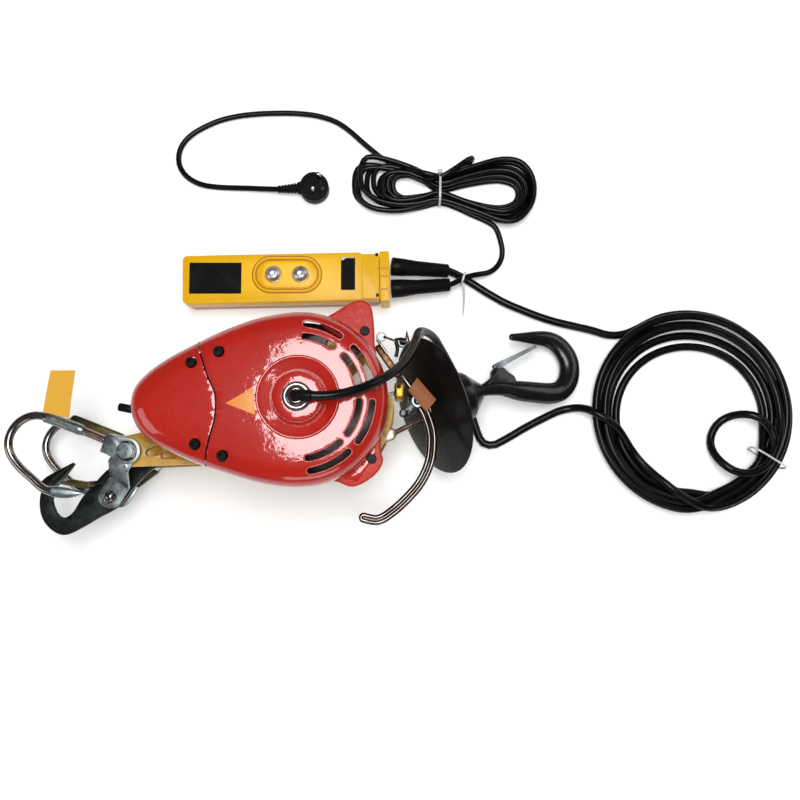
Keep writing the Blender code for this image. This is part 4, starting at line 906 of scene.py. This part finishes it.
def build_hanger():
    build_hoops()
    softened("hanger_clevis", "zinc_plate", 0.0012, 3)
    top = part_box("hanger_bolt")[1][2]
    head = hex_head("hanger_bolt", BOLT.xy, top - 0.006, top, 0.0098, "zinc_plate", "hanger", 12)
    washer = lathe("hanger_washer", [(0.0052, top - 0.0074), (0.0112, top - 0.0074),
                                     (0.0114, top - 0.007), (0.0112, top - 0.0062),
                                     (0.0052, top - 0.0062)], at(BOLT), 48,
                   closed=True)
    finished(washer, "chrome", "hanger")
    shank = lathe("hanger_bolt_shank", [(0.0, 0.006), (0.0042, 0.006), (0.0048, 0.0068),
                                        (0.0048, top - 0.0064), (0.0, top - 0.0064)],
                  at(BOLT), 32)
    finished(shank, "zinc_plate", "hanger")
    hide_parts("hanger_bolt")
    repainted("hanger_bolt", "zinc_plate")
    softened("hanger_nut", "zinc_plate", 0.0008)
    softened("hanger_spacer", "zinc_plate", 0.0006)
    softened("link_front", "zinc_plate", 0.0007)
    softened("link_rear", "zinc_plate", 0.0007)
    rivet = lathe("link_rivet_turned", [
        (0.0, 0.109), (0.0028, 0.1086), (0.0052, 0.107), (0.0066, 0.1046), (0.0068, 0.1039),
        (0.0038, 0.1038), (0.0038, 0.0642), (0.0068, 0.0641), (0.0066, 0.0634), (0.0052, 0.061),
        (0.0028, 0.0594), (0.0, 0.059)], at(RIVET), 40)
    finished(rivet, "chrome", "hanger")
    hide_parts("link_rivet")
    build_latch_hook()
    tag = card("hanger_tag", ((-0.289, -0.0115), (-0.26, -0.0185), (-0.2545, 0.035),
                              (-0.2822, 0.035)), 0.1478, 0.0007)
    finished(tag, "amber_card", "hanger")


def card(name, corners, height, thick):
    """Thin card with slightly bowed faces."""
    corners = [Vector(c) for c in corners]
    steps = 10
    rings = []
    for i in range(steps + 1):
        t = i / steps
        left = corners[0].lerp(corners[3], t)
        right = corners[1].lerp(corners[2], t)
        lift = height + 0.001 * math.sin(math.pi * t)
        rings.append([(*left, lift - thick / 2), (*right, lift - thick / 2),
                      (*right, lift + thick / 2), (*left, lift + thick / 2)])
    return loft(name, rings)


LATCH_HOOK = ((-0.15, -0.059), (-0.17, -0.068), (-0.186, -0.077), (-0.2043, -0.0962), (-0.2214, -0.118),
    (-0.2432, -0.1305), (-0.259, -0.14), (-0.2776, -0.1496), (-0.2892, -0.15), (-0.3012, -0.1425),
    (-0.3097, -0.1311), (-0.3132, -0.117), (-0.3125, -0.103), (-0.308, -0.0945), (-0.3, -0.094),
    (-0.2975, -0.101), (-0.2988, -0.1113), (-0.2948, -0.1229), (-0.2895, -0.129), (-0.2828, -0.1305),
    (-0.2737, -0.1241), (-0.2649, -0.109), (-0.256, -0.098), (-0.244, -0.084), (-0.233, -0.0735),
    (-0.215, -0.066), (-0.203, -0.0675), (-0.193, -0.069), (-0.183, -0.065), (-0.17, -0.056),
    (-0.157, -0.05), (-0.149, -0.052))


def build_latch_hook():
    hook = plate("latch_hook_plate", smooth_loop(LATCH_HOOK, 4), 0.08, 0.088)
    boolean(hook, "DIFFERENCE", plate("rivet_hole", circle(0.0043, RIVET.xy, 24), 0.05, 0.12))
    finished(bevelled(hook, 0.001, 3, 50), "dark_steel", "latch")
    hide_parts("latch_hook")
    rings = []
    for x, y, wide, tall in ((-0.306, -0.0935, 0.013, 0.02), (-0.3, -0.0885, 0.0135, 0.0215),
                             (-0.293, -0.083, 0.0112, 0.02), (-0.284, -0.0755, 0.0072, 0.013),
                             (-0.277, -0.0697, 0.0044, 0.007), (-0.2745, -0.0676, 0.003, 0.004)):
        across = Vector((-0.62, 0.78, 0))
        middle = Vector((x, y, MID_Z + 0.002))
        low, high = (Vector((0, 0, s * tall / 2)) for s in (-1, 1))
        rings.append([middle - across * wide / 2 + low, middle + across * wide / 2 + low,
                      middle + across * wide / 2 + high * 0.72, middle - across * wide * 0.1 + high,
                      middle - across * wide / 2 + high * 0.55])
    beak = loft("latch_hook_beak", rings)
    finished(bevelled(beak, 0.0005, 2, 25), "dark_steel", "latch")
    softened("gate_leaf", "gate_brass", 0.0008, 3)
    pin = solid_tube("gate_pin", [Vector((-0.244, -0.0905, 0.088)),
                                  Vector((-0.244, -0.0905, 0.1155))], 0.0019, resolution=5)
    finished(pin, "chrome", "gate")


# Rope, disc and load hook ------------------------------------------------------------
ROPE_ROUTE = ((0.034, -0.038, 0.084), (0.05, -0.0245, 0.084), (0.068, -0.009, 0.084),
    (0.085, 0.0065, 0.084), (0.096, 0.014, 0.084), (0.106, 0.0155, 0.0838), (0.118, 0.012, 0.083),
    (0.13, 0.006, 0.081), (0.14, 0.0015, 0.0795), (0.1445, 0.0, 0.0785), (0.1508, 0.002, 0.0762))
HOOK_PATH = ((0.0705, 0.0, 1.05), (0.08, -0.0008, 1.1), (0.0977, -0.005, 1.28), (0.1167, -0.0136, 1.64),
    (0.1362, -0.0214, 1.74), (0.1579, -0.0292, 1.76), (0.1738, -0.0298, 1.74), (0.1879, -0.0212, 1.76),
    (0.1967, -0.0066, 1.76), (0.1986, 0.0084, 1.72), (0.1931, 0.0244, 1.6), (0.1819, 0.0357, 1.4),
    (0.1661, 0.0422, 1.17), (0.15, 0.0474, 0.84), (0.1334, 0.0524, 0.56))
HOOK_SHANK_R = 0.0075
HOOK_FLATNESS = 0.72


def stranded(name, route, radius, strands=6, lay=0.019):
    """Wire rope: round strands that twist along the route."""
    points = smooth_route(route, 0.0009)
    rings = []
    side = Vector((0.0, 0.0, 1.0))
    travelled = 0.0
    for i, point in enumerate(points):
        ahead = (points[min(i + 1, len(points) - 1)] - points[max(i - 1, 0)]).normalized()
        side = (side - ahead * side.dot(ahead)).normalized()
        other = ahead.cross(side)
        twist = 2 * math.pi * travelled / lay
        ring = []
        for k in range(strands * 5):
            angle = 2 * math.pi * k / (strands * 5)
            bulge = abs(math.cos(strands * (angle - twist) / 2)) ** 0.7
            reach = radius * (0.8 + 0.2 * bulge)
            ring.append(point + side * reach * math.cos(angle) + other * reach * math.sin(angle))
        rings.append(ring)
        if i < len(points) - 1:
            travelled += (points[i + 1] - point).length
    return loft(name, rings)


def build_rope():
    rope = stranded("wire_rope_stranded", ROPE_ROUTE, 0.0025)
    finished(rope, "wire")
    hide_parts("wire_rope")
    low, high = (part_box("wound_rope")[i][2] for i in (0, 1))
    turns = 13
    profile = [(0.0363, low)]
    for i in range(turns * 6 + 1):
        swell = abs(math.sin(math.pi * i / 6))
        profile.append((0.0464 + 0.0015 * swell, low + (high - low) * i / (turns * 6)))
    profile.append((0.0363, high))
    wound = lathe("wound_rope_turns", profile, steps=72, closed=True)
    finished(wound, "wire", "drum_group")
    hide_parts("wound_rope")


def build_disc():
    rest = rope_frame(DISC_PITCH) @ LAY_ON_X
    edge = DISC_R
    disc = lathe("limit_disc_turned", [
        (0.0078, -0.005), (0.029, -0.005), (0.032, -0.0047), (0.056, -0.0018),
        (edge - 0.002, 0.001), (edge - 0.0005, 0.0016), (edge, 0.0026), (edge - 0.0006, 0.0036),
        (edge - 0.0022, 0.0042), (0.056, 0.0012), (0.032, -0.0018), (0.029, -0.002),
        (0.0078, -0.002)], rest, 128, closed=True)
    finished(disc, "disc_rubber")
    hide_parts("limit_disc")
    block = lathe("hook_block_turned", [
        (0.0, 0.009), (0.006, 0.009), (0.006, 0.014), (0.0262, 0.014), (0.028, 0.0146),
        (0.0294, 0.0164), (0.03, 0.0185), (0.03, 0.044), (0.0296, 0.0464), (0.0282, 0.0488),
        (0.0262, 0.0508), (0.0128, 0.0655), (0.0108, 0.0676), (0.0096, 0.0684), (0.0085, 0.07),
        (0.0, 0.07)], rope_frame(ROPE_PITCH) @ LAY_ON_X, 72)
    finished(block, "black_paint")
    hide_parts("hook_block")


def build_load_hook():
    rest = rope_frame(ROPE_PITCH)
    guide = smooth_route([(x, y, share / 100) for x, y, share in HOOK_PATH], 0.003)
    centres = [Vector((p.x, p.y, 0.0)) for p in guide]
    rings = []
    last = len(guide) - 1
    for i, point in enumerate(centres):
        ahead = (centres[min(i + 1, last)] - centres[max(i - 1, 0)]).normalized()
        across = Vector((-ahead.y, ahead.x, 0.0))
        half = HOOK_SHANK_R * guide[i].z * 100
        inner = ease((i - 6) / 8) * ease((last - i) / 10)
        ring = []
        for angle in range(0, 360, 12):
            c, v = math.cos(math.radians(angle)), math.sin(math.radians(angle))
            pinch = 1.0 - 0.22 * inner * max(0.0, c)
            wide = math.copysign(abs(c) ** 0.85, c) * half
            thick = math.copysign(abs(v) ** 0.85, v) * half * HOOK_FLATNESS * pinch
            ring.append(point + across * wide + Vector((0, 0, thick)))
        rings.append(ring)
    tip, heading = centres[-1], (centres[-1] - centres[-2]).normalized()
    for share in (0.45, 0.8, 1.0):
        shrink = math.sqrt(max(0.02, 1 - share ** 2))
        rings.append([tip + heading * 0.003 * share + (Vector(p) - tip) * shrink
                      for p in rings[last]])
    hook = loft("load_hook_forged", rings, rest)
    lug_side = smooth_loop([(0.0705, 0.005), (0.0863, 0.0118), (0.0912, 0.0192),
                            (0.0965, 0.0214), (0.103, 0.021), (0.108, 0.0175),
                            (0.1115, 0.0115), (0.1175, 0.003), (0.113, -0.006),
                            (0.085, -0.002)], 5)
    lug = plate("hook_lug", lug_side, -0.0046, 0.0046, rest)
    bevelled(lug, 0.0014, 3, 30)
    boolean(hook, "UNION", lug)
    finished(hook, "black_paint", "swivel_hook")
    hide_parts("load_hook")
    build_hook_latch(rest)


def build_hook_latch(rest):
    """Folded sheet latch with its rivet and spring."""
    outline = ((0.097, 0.0222, 0.005), (0.1, 0.0227, 0.0076), (0.106, 0.0236, 0.0078),
               (0.112, 0.0245, 0.0066), (0.13, 0.0275, 0.0056), (0.15, 0.0306, 0.0044),
               (0.16, 0.0322, 0.0036))
    rings = []
    for x, y, wide in outline:
        across = Vector((-0.12, 0.99, 0))
        middle = Vector((x, y, 0.0))
        side = 0.006 if x < 0.107 else 0.0048
        profile = ((-1, -side), (1, -side), (1, -side + 0.0012), (-0.1, -side + 0.0012),
                   (-0.1, side - 0.0012), (1, side - 0.0012), (1, side), (-1, side))
        rings.append([middle + across * wide / 2 * a + Vector((0, 0, z)) for a, z in profile])
    latch = loft("hook_latch_sheet", rings, rest)
    finished(bevelled(latch, 0.0003, 1, 30), "zinc_plate", "hook_gate")
    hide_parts("hook_latch")
    pin = [rest @ Vector((0.102, 0.0232, z)) for z in (-0.0078, 0.0078)]
    finished(solid_tube("hook_latch_rivet", pin, 0.002, resolution=5), "zinc_plate", "hook_gate")
    spring = [rest @ Vector((0.102 + 0.003 * math.cos(a / 2), 0.0232 + 0.003 * math.sin(a / 2),
                             -0.004 + 0.008 * a / 40)) for a in range(41)]
    finished(solid_tube("hook_latch_spring", spring, 0.0005, resolution=2), "wire", "hook_gate")


# Limit lever and rope guide -------------------------------------------------------------
LEVER_LINE = ((0.1332, -0.003), (0.1375, -0.011), (0.1434, -0.0293), (0.1445, -0.0466),
    (0.1416, -0.0667), (0.1318, -0.0885), (0.1168, -0.1068), (0.0984, -0.1234), (0.0824, -0.1325),
    (0.066, -0.13))


def build_lever():
    middle = smooth_route([(*p, LEVER_Z) for p in LEVER_LINE], 0.003)
    half = 0.0031
    sides = [[], []]
    for i, point in enumerate(middle):
        ahead = middle[min(i + 1, len(middle) - 1)] - middle[max(i - 1, 0)]
        across = Vector((-ahead.y, ahead.x, 0)).normalized() * half
        sides[0].append(point + across)
        sides[1].append(point - across)
    heading = (middle[-1] - middle[-2]).normalized()
    turn = [middle[-1] + heading * half * math.sin(math.radians(a))
            + (sides[0][-1] - middle[-1]) * math.cos(math.radians(a)) for a in range(15, 180, 15)]
    rod = solid_tube("limit_lever_rod", sides[0] + turn + list(reversed(sides[1])), 0.0029,
                     resolution=7)
    finished(rod, "dark_chrome", "lever")
    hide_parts("limit_lever")
    softened("lever_hub", "zinc_plate", 0.0008)
    softened("lever_bracket", "black_paint", 0.001)
    softened("lever_rod", "pink_chrome", 0.001)
    tag = card("lever_tag", ((0.117, 0.016), (0.1375, -0.0092), (0.1492, 0.005),
                             (0.1275, 0.0305)), 0.115, 0.0008)
    finished(tag, "orange_card", "lever")


def build_rope_guide():
    softened("rope_guide", "brass", 0.003, 5)
    # Painted shade: a thin black disc on the guide where its hole is, standing for the dark inside the
    # hole
    hole = lathe("guide_eye_shade", [(0.0, 0.1205), (0.0022, 0.1205), (0.0026, 0.1213), (0.0, 0.1214)],
                 at((0.1063, 0.0195)), 24)
    finished(hole, "black_rubber")
    arm = bar_between("guide_arm_bar", (0.0805, 0.07, 0.1), (0.1065, 0.033, 0.1),
                      0.0088, 0.005)
    finished(arm, "bronze")
    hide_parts("guide_arm")
    small = (
        ("guide_strip", "chrome", ((0.0808, 0.0765, 0.105), (0.0925, 0.0595, 0.105)), 0.0017),
        ("guide_pin", "pink_chrome", ((0.0905, 0.0792, 0.104), (0.1025, 0.0752, 0.101)), 0.0014),
        ("guide_leg", "dark_steel", ((0.103, 0.0745, 0.1), (0.1045, 0.0655, 0.1),
                                     (0.1028, 0.0565, 0.1)), 0.0022),
        ("guide_knuckle", "dark_steel", ((0.102, 0.0745, 0.098), (0.1085, 0.0755, 0.098),
                                         (0.1165, 0.074, 0.098)), 0.0044),
        ("guide_shackle", "zinc_plate", ((0.106, 0.0755, 0.102), (0.1075, 0.07, 0.102),
                                         (0.113, 0.069, 0.102), (0.1165, 0.073, 0.1)), 0.002),
        ("silver_rod", "chrome", ((0.11, 0.033, 0.108), (0.1195, 0.0205, 0.108)), 0.0024),
        ("wire_loop", "wire", ((0.1262, 0.0735, 0.096), (0.125, 0.08, 0.0975),
                               (0.13, 0.0858, 0.0985), (0.1345, 0.0868, 0.0985),
                               (0.1352, 0.083, 0.098), (0.131, 0.0745, 0.096)), 0.0011),
    )
    for name, finish, route, radius in small:
        obj = solid_tube(name, smooth_route(route, 0.0015), radius, resolution=5)
        finished(obj, finish)
    ring = [Vector((*polar(0.0052, 15 * i, (0.0858, 0.0795)), 0.1045 + 0.0006 * math.sin(i / 4)))
            for i in range(24)]
    finished(solid_tube("split_ring", ring, 0.0007, resolution=4, cyclic=True), "wire")
    knob = lathe("bracket_knob", [(0.0, 0.099), (0.0036, 0.099), (0.0042, 0.0998),
                                  (0.0042, 0.1018), (0.0034, 0.1028), (0.0, 0.103)],
                 at((0.1124, -0.0103)), 32)
    finished(knob, "black_rubber")
    ball = lathe("guide_pin_head", [(0.0019 * math.sin(math.radians(a)),
                                     0.104 - 0.0019 * math.cos(math.radians(a)))
                                    for a in range(0, 181, 15)],
                 at((0.0898, 0.0794)), 24)
    finished(ball, "black_paint")
    spike = loft("guide_spike", [[(0.116 + (0.1155 - 0.116) * t + r * math.cos(math.radians(a)),
                                   0.075 + 0.013 * t, 0.1 + r * math.sin(math.radians(a)))
                                  for a in range(0, 360, 20)]
                                 for t, r in ((0.0, 0.0027), (0.35, 0.0023), (0.75, 0.0012),
                                              (0.95, 0.0005), (1.0, 0.0002))])
    finished(spike, "pink_chrome")


# Pendant ----------------------------------------------------------------------------------
def button_bore(x):
    """A cutter that makes room for a button."""
    return plate("button_bore", circle(BUTTON_R + BORE_GAP, (x, BUTTON_Y)), 0.03, 0.06)


def build_pendant():
    rest = PENDANT_PLACE
    half_x, half_y = 0.122, 0.0305
    step = half_x - 0.02
    face = plate("pendant_face_shell", rounded_box((-half_x, -half_y), (step, half_y), 0.006),
                 0.0222, PENDANT_TOP, rest)
    bevelled(face, 0.0022, 4, 50)
    hollow = [box("face_hollow", (-half_x + 0.003, -half_y + 0.003, 0.01),
                  (step - 0.003, half_y - 0.003, PENDANT_TOP - 0.003), rest)]
    for x, _ in BUTTONS.values():
        hollow.append(button_bore(x))
    boolean(face, "DIFFERENCE", *hollow)
    finished(face, "yellow_plastic")
    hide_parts("pendant_face")
    neck = plate("pendant_neck", rounded_box((step - 0.01, -half_y + 0.0022),
                                             (half_x, half_y - 0.0022), 0.0015),
                 0.0222, PENDANT_TOP - 0.001, rest)
    finished(bevelled(neck, 0.001, 3, 50), "yellow_plastic")
    case = plate("pendant_case_shell", rounded_box((-half_x + 0.001, -half_y + 0.0015),
                                                   (half_x, half_y - 0.0015), 0.006),
                 0.0, 0.0218, rest)
    bevelled(case, 0.003, 4, 50)
    boolean(case, "DIFFERENCE", box("case_hollow", (-half_x + 0.004, -half_y + 0.0045, 0.003),
                                    (half_x - 0.003, half_y - 0.0045, 0.03), rest))
    # The case takes the darker copy of the yellow plastic, painted shade for its sides
    finished(case, "painted_shade_case_plastic")
    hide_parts("pendant_case")
    cap = plate("pendant_cap_shell", rounded_box((half_x + 0.0004, -half_y - 0.001),
                                                 (half_x + 0.0125, half_y + 0.001), 0.0018),
                0.0004, PENDANT_TOP - 0.0012, rest)
    finished(bevelled(cap, 0.0012, 3, 50), "yellow_plastic")
    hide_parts("pendant_end_cap")
    # Painted shade: darker orange strips along the end cap's grooves
    for i, y in enumerate((0.0095, 0.0, -0.0165)):
        groove = box(f"cap_groove_{i}", (half_x - 0.002, y - 0.0011, PENDANT_TOP - 0.0016),
                     (half_x + 0.0105, y + 0.0011, PENDANT_TOP - 0.0007), rest)
        finished(bevelled(groove, 0.0003, 1, 50), "painted_groove_shade")
    # Painted shade: small black blocks where the clip notches sit in the top, standing for the dark
    # inside the notches
    for i, y in enumerate((0.027, -0.024)):
        notch = box(f"clip_notch_shade_{i}", (half_x - 0.0045, y - 0.0022, PENDANT_TOP - 0.0018),
                    (half_x - 0.001, y + 0.0022, PENDANT_TOP - 0.0006), rest)
        finished(bevelled(notch, 0.0004, 1, 50), "black_rubber")
    build_buttons()
    for name, low, high in (("caution_plate", (-0.1532, 0.1425), (-0.0888, 0.1815)),
                            ("end_plate", (0.0345, 0.1472), (0.052, 0.1884))):
        label = plate(name, rounded_box(low, high, 0.0008), PENDANT_TOP - 0.0004,
                      PENDANT_TOP + 0.0004)
        finished(bevelled(label, 0.0002, 1, 50), "black_label")
    sliver = plate("end_plate_corner", ((0.035, 0.1845), (0.0372, 0.1845), (0.04, 0.1872),
                                        (0.0512, 0.1873), (0.0512, 0.188), (0.035, 0.188)),
                   PENDANT_TOP + 0.0004, PENDANT_TOP + 0.0006)
    finished(sliver, "tie_nylon")
    repainted("switch_block", "black_paint")
    for node, start, end, tip in (
            ("mains_sleeve", (0.0968, 0.1535, 0.025), (0.1708, 0.1598, 0.0201), 0.0082),
            ("control_sleeve", (0.0972, 0.1822, 0.025), (0.1692, 0.1791, 0.0132), 0.0086)):
        build_sleeve(node, Vector(start), Vector(end), tip)


def build_sleeve(node, start, end, tip):
    """Tapered rubber strain relief with a square end."""
    length = (end - start).length
    profile = [(0.0, 0.0), (0.0112, 0.0), (0.0116, 0.0008), (0.0112, 0.013),
               (tip + 0.001, length * 0.42), (tip, length - 0.0014), (tip - 0.0006, length - 0.0004),
               (tip - 0.0012, length), (0.0, length)]
    turn = (end - start).to_track_quat("Z", "Y").to_matrix().to_4x4()
    made = lathe(f"{node}_moulded", profile, at(start) @ turn, 48)
    finished(made, "black_rubber")
    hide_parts(node)


def build_buttons():
    middle = (BUTTONS["button_up"][0] + BUTTONS["button_down"][0]) / 2
    ends = ((middle - 0.02, BUTTON_Y), (middle + 0.02, BUTTON_Y))
    lip = [Vector((*p, PENDANT_TOP + 0.0003)) for p in stadium(*ends, 0.0208)]
    finished(solid_tube("button_rim_lip", lip, 0.0016, resolution=5, cyclic=True),
             "yellow_plastic")
    # Painted shade: thin darker orange rings in the groove inside the rim and round the rim's outer
    # foot
    seam = [Vector((*p, PENDANT_TOP - 0.0001)) for p in stadium(*ends, 0.0183)]
    finished(solid_tube("button_rim_groove", seam, 0.0007, resolution=3, cyclic=True),
             "painted_groove_shade")
    outer = [Vector((*p, PENDANT_TOP - 0.0002)) for p in stadium(*ends, 0.0231)]
    finished(solid_tube("button_rim_shade", outer, 0.0007, resolution=3, cyclic=True),
             "painted_groove_shade")
    raised = plate("button_plateau", stadium(*ends, 0.0172), PENDANT_TOP - 0.001,
                   PENDANT_TOP + 0.0017)
    bevelled(raised, 0.001, 3, 40)
    for x, _ in BUTTONS.values():
        boolean(raised, "DIFFERENCE", button_bore(x))
    finished(raised, "yellow_plastic")
    low = PENDANT_TOP - 0.01
    for node, (x, body) in BUTTONS.items():
        top = low + 0.019
        dome = lathe(f"{node}_dome", [
            (0.0, low), (BUTTON_R, low), (BUTTON_R, low + 0.0126), (BUTTON_R * 0.985, low + 0.0132),
            (BUTTON_R * 0.93, low + 0.0134), (BUTTON_R * 0.9, low + 0.014),
            (BUTTON_R * 0.82, low + 0.0163), (BUTTON_R * 0.66, low + 0.0178),
            (BUTTON_R * 0.46, top - 0.0004), (BUTTON_R * 0.34, top), (BUTTON_R * 0.29, top - 0.0004),
            (BUTTON_R * 0.25, top - 0.0012), (BUTTON_R * 0.1, top - 0.0015), (0.0, top - 0.0015)],
            at((x, BUTTON_Y)), 64)
        finished(dome, "button_chrome", body)
        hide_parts(node)


# Ties, plug and gland --------------------------------------------------------------------
def strap(name, route, wide, thick, side, cyclic=False):
    """Flat nylon strap along a route; side is the direction of its width."""
    side = Vector(side).normalized()
    rings = []
    count = len(route)
    for i, point in enumerate(route):
        ahead = route[(i + 1) % count] if cyclic else route[min(i + 1, count - 1)]
        back = route[i - 1] if cyclic else route[max(i - 1, 0)]
        along = (Vector(ahead) - Vector(back)).normalized()
        flat = (side - along * side.dot(along)).normalized()
        out = along.cross(flat)
        rings.append([Vector(point) + flat * a * wide / 2 + out * b * thick / 2
                      for a, b in ((-1, -1), (1, -1), (1, 1), (-1, 1))])
    obj = loft(name, rings, closed=cyclic)
    return finished(obj, "tie_nylon")


def around(centre, half_across, half_high, direction, steps=40):
    """Rounded-square loop round a bundle, across the given direction."""
    across = Vector(direction).normalized()
    points = []
    for i in range(steps):
        angle = 2 * math.pi * i / steps
        c, v = math.cos(angle), math.sin(angle)
        points.append(Vector(centre)
                      + across * math.copysign(abs(c) ** 0.55, c) * half_across
                      + Vector((0, 0, math.copysign(abs(v) ** 0.55, v) * half_high)))
    return points


def build_ties():
    strap("hank_tie", around((0.1588, 0.2862, 0.015), 0.0208, 0.0146, (0.02, 1.0, 0.0)),
          0.0027, 0.0009, (1, 0, 0), cyclic=True)
    head = box("hank_tie_head", (0.1558, 0.302, 0.0292), (0.1614, 0.3066, 0.033))
    finished(bevelled(head, 0.0005, 2, 50), "tie_nylon")
    out = polar(1.0, -32.0)
    middle = COIL_CENTRE + Vector((*(out * 0.109), 0.0158))
    strap("coil_tie", around(middle, 0.0245, 0.0152, (out.x, out.y, 0.0)),
          0.0022, 0.0008, (-out.y, out.x, 0.0), cyclic=True)
    strap("lead_tie", around((0.1885, 0.17, 0.011), 0.008, 0.0098, (0.35, 1.0, 0.0)),
          0.0024, 0.0008, (1, -0.35, 0), cyclic=True)
    tail = smooth_route([(0.1882, 0.1628, 0.016), (0.1886, 0.157, 0.015), (0.1895, 0.147, 0.0085),
                         (0.1893, 0.137, 0.004), (0.1888, 0.128, 0.0012),
                         (0.1884, 0.1235, 0.0008)], 0.002)
    strap("lead_tie_tail", tail, 0.0022, 0.0008, (1, 0.1, 0))


def build_plug():
    place = at((-0.003, 0.2885))
    head = lathe("plug_head", [
        (0.0, 0.0004), (0.016, 0.0004), (0.018, 0.0012), (0.0187, 0.003), (0.0187, 0.017),
        (0.0184, 0.0186), (0.0176, 0.0196), (0.0172, 0.02), (0.0172, 0.0232), (0.0166, 0.024),
        (0.013, 0.024), (0.0124, 0.0234), (0.0, 0.0234)], place, 72)
    finished(head, "black_rubber")
    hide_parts("plug")
    pieces = [head]
    start, end = Vector((-0.05, 0.2871, 0.0101)), Vector((-0.0185, 0.2883, 0.012))
    length = (end - start).length
    profile = [(0.0, 0.0), (0.004, 0.0)]
    for i in range(6):
        foot = 0.0012 + i * 0.004
        wide = 0.0048 + 0.00035 * i
        profile += [(wide, foot), (wide, foot + 0.0022), (wide - 0.0012, foot + 0.0026),
                    (wide - 0.0012, foot + 0.0038)]
    profile += [(0.0078, 0.0262), (0.0088, length + 0.003), (0.0, length + 0.003)]
    turn = (end - start).to_track_quat("Z", "Y").to_matrix().to_4x4()
    relief = lathe("plug_relief", profile, at(start) @ turn, 40)
    pieces.append(finished(relief, "black_rubber"))
    for i, side in enumerate((-1, 1)):
        pin = lathe(f"plug_pin_{i}", [(0.0, 0.02), (0.0024, 0.02), (0.0024, 0.0412),
                                      (0.0019, 0.0424), (0.0, 0.0428)],
                    at((0.001 + side * 0.0035, 0.2885 + side * 0.0088)), 24)
        pieces.append(finished(pin, "chrome"))
    clip = lathe("plug_earth", [(0.0, 0.0225), (0.0032, 0.0225), (0.0032, 0.0244), (0.0026, 0.0247),
                                (0.0, 0.0244)], at((0.0085, 0.285)), 24)
    pieces.append(finished(clip, "dark_steel"))
    return pieces


def build_gland():
    seal_and_seam_shadow = lathe("gland_seal", [(0.0108, 0.2128), (0.015, 0.2128), (0.0156, 0.2133),
                                (0.0152, 0.2142), (0.0108, 0.2146)], steps=72,
                 closed=True)
    finished(seal_and_seam_shadow, "dark_steel")
    body = lathe("gland_body_turned", [(0.0062, 0.201), (0.012, 0.201), (0.012, 0.2146),
                                       (0.0132, 0.2148), (0.0134, 0.2156), (0.0128, 0.2162),
                                       (0.0062, 0.2162)], steps=72, closed=True)
    finished(body, "chrome")
    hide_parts("gland_body")
    nut = lathe("gland_nut_turned", [
        (0.006, 0.2163), (0.0112, 0.2163), (0.0116, 0.2168), (0.0116, 0.2186), (0.011, 0.2196),
        (0.0102, 0.2216), (0.0092, 0.2224), (0.0066, 0.2226)], steps=72, closed=True)
    finished(nut, "chrome")
    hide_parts("gland_nut")
    route = smooth_route(((0.0, 0.0, 0.2229), (0.0002, 0.0, 0.2262), (0.0022, -0.0002, 0.2308),
                          (0.008, -0.001, 0.2343), (0.0172, -0.0015, 0.235)), 0.0015)
    elbow = solid_tube("cable_elbow_moulded", route, 0.006, resolution=8)
    finished(elbow, "black_rubber")
    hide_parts("cable_elbow")


# Frame, drive and the rest ------------------------------------------------------------------
SOFT_NODES = (("front_frame", "yellow_casting", 0.001), ("back_frame", "yellow_casting", 0.001),
              ("gear_case_cover", "yellow_casting", 0.0006), ("nose_stud", "black_rubber", 0.0012))
PLAIN_NODES = {
    "chrome": ("rotor", "front_bearing"), "dark_steel": ("drum", "drum_gear", "counter_gear"),
    "copper": ("motor_stator",), "black_paint": ("cooling_fan",)}


def build_frame():
    for node, finish, width in SOFT_NODES:
        softened(node, finish, width)
    for finish, nodes in PLAIN_NODES.items():
        for node in nodes:
            repainted(node, finish)


# Stage ----------------------------------------------------------------------------
def area_light(name, place, aim, size, power, colour=(1.0, 1.0, 1.0)):
    data = bpy.data.lights.new(name, "AREA")
    data.shape = "RECTANGLE"
    data.size, data.size_y = size
    data.energy = power
    data.color = colour
    light = bpy.data.objects.new(name, data)
    light.location = place
    light.rotation_euler = (Vector(aim) - Vector(place)).to_track_quat("-Z", "Y").to_euler()
    bpy.context.scene.collection.objects.link(light)


def build_stage():
    floor = box("floor", (-30.0, -30.0, -0.02), (30.0, 30.0, -0.0002))
    white = Shader("floor_white", (0.9, 0.9, 0.9), 0.9)
    white.set("Emission Color", (1.0, 1.0, 1.0, 1.0))
    white.set("Emission Strength", 0.16)
    white.tint((0.88, 0.88, 0.88), white.cloud(3, 2, 0.3, 0.7))
    floor.data.materials.append(white.material)
    world = bpy.data.worlds.new("studio")
    world.use_nodes = True
    world.node_tree.nodes["Background"].inputs["Color"].default_value = (1.0, 1.0, 1.0, 1.0)
    world.node_tree.nodes["Background"].inputs["Strength"].default_value = 0.12
    bpy.context.scene.world = world
    area_light("panel", (0.11, 0.17, 2.0), (0.11, 0.17, 0.0), (0.82, 1.2), 40)
    area_light("left_fill", (-1.5, -0.6, 1.0), (0.0, 0.0, 0.1), (1.0, 0.8), 6)
    area_light("right_fill", (1.6, 0.9, 0.9), (0.1, 0.0, 0.1), (1.0, 0.8), 6)
    area_light("front_fill", (0.2, -1.7, 0.8), (0.1, 0.0, 0.1), (1.2, 0.6), 6)
    bpy.context.scene.view_settings.view_transform = "Standard"


build_camera()
build_cords()
build_cover()
build_gland()
build_hanger()
build_rope()
build_disc()
build_load_hook()
build_lever()
build_rope_guide()
build_pendant()
build_ties()
build_frame()
build_stage()
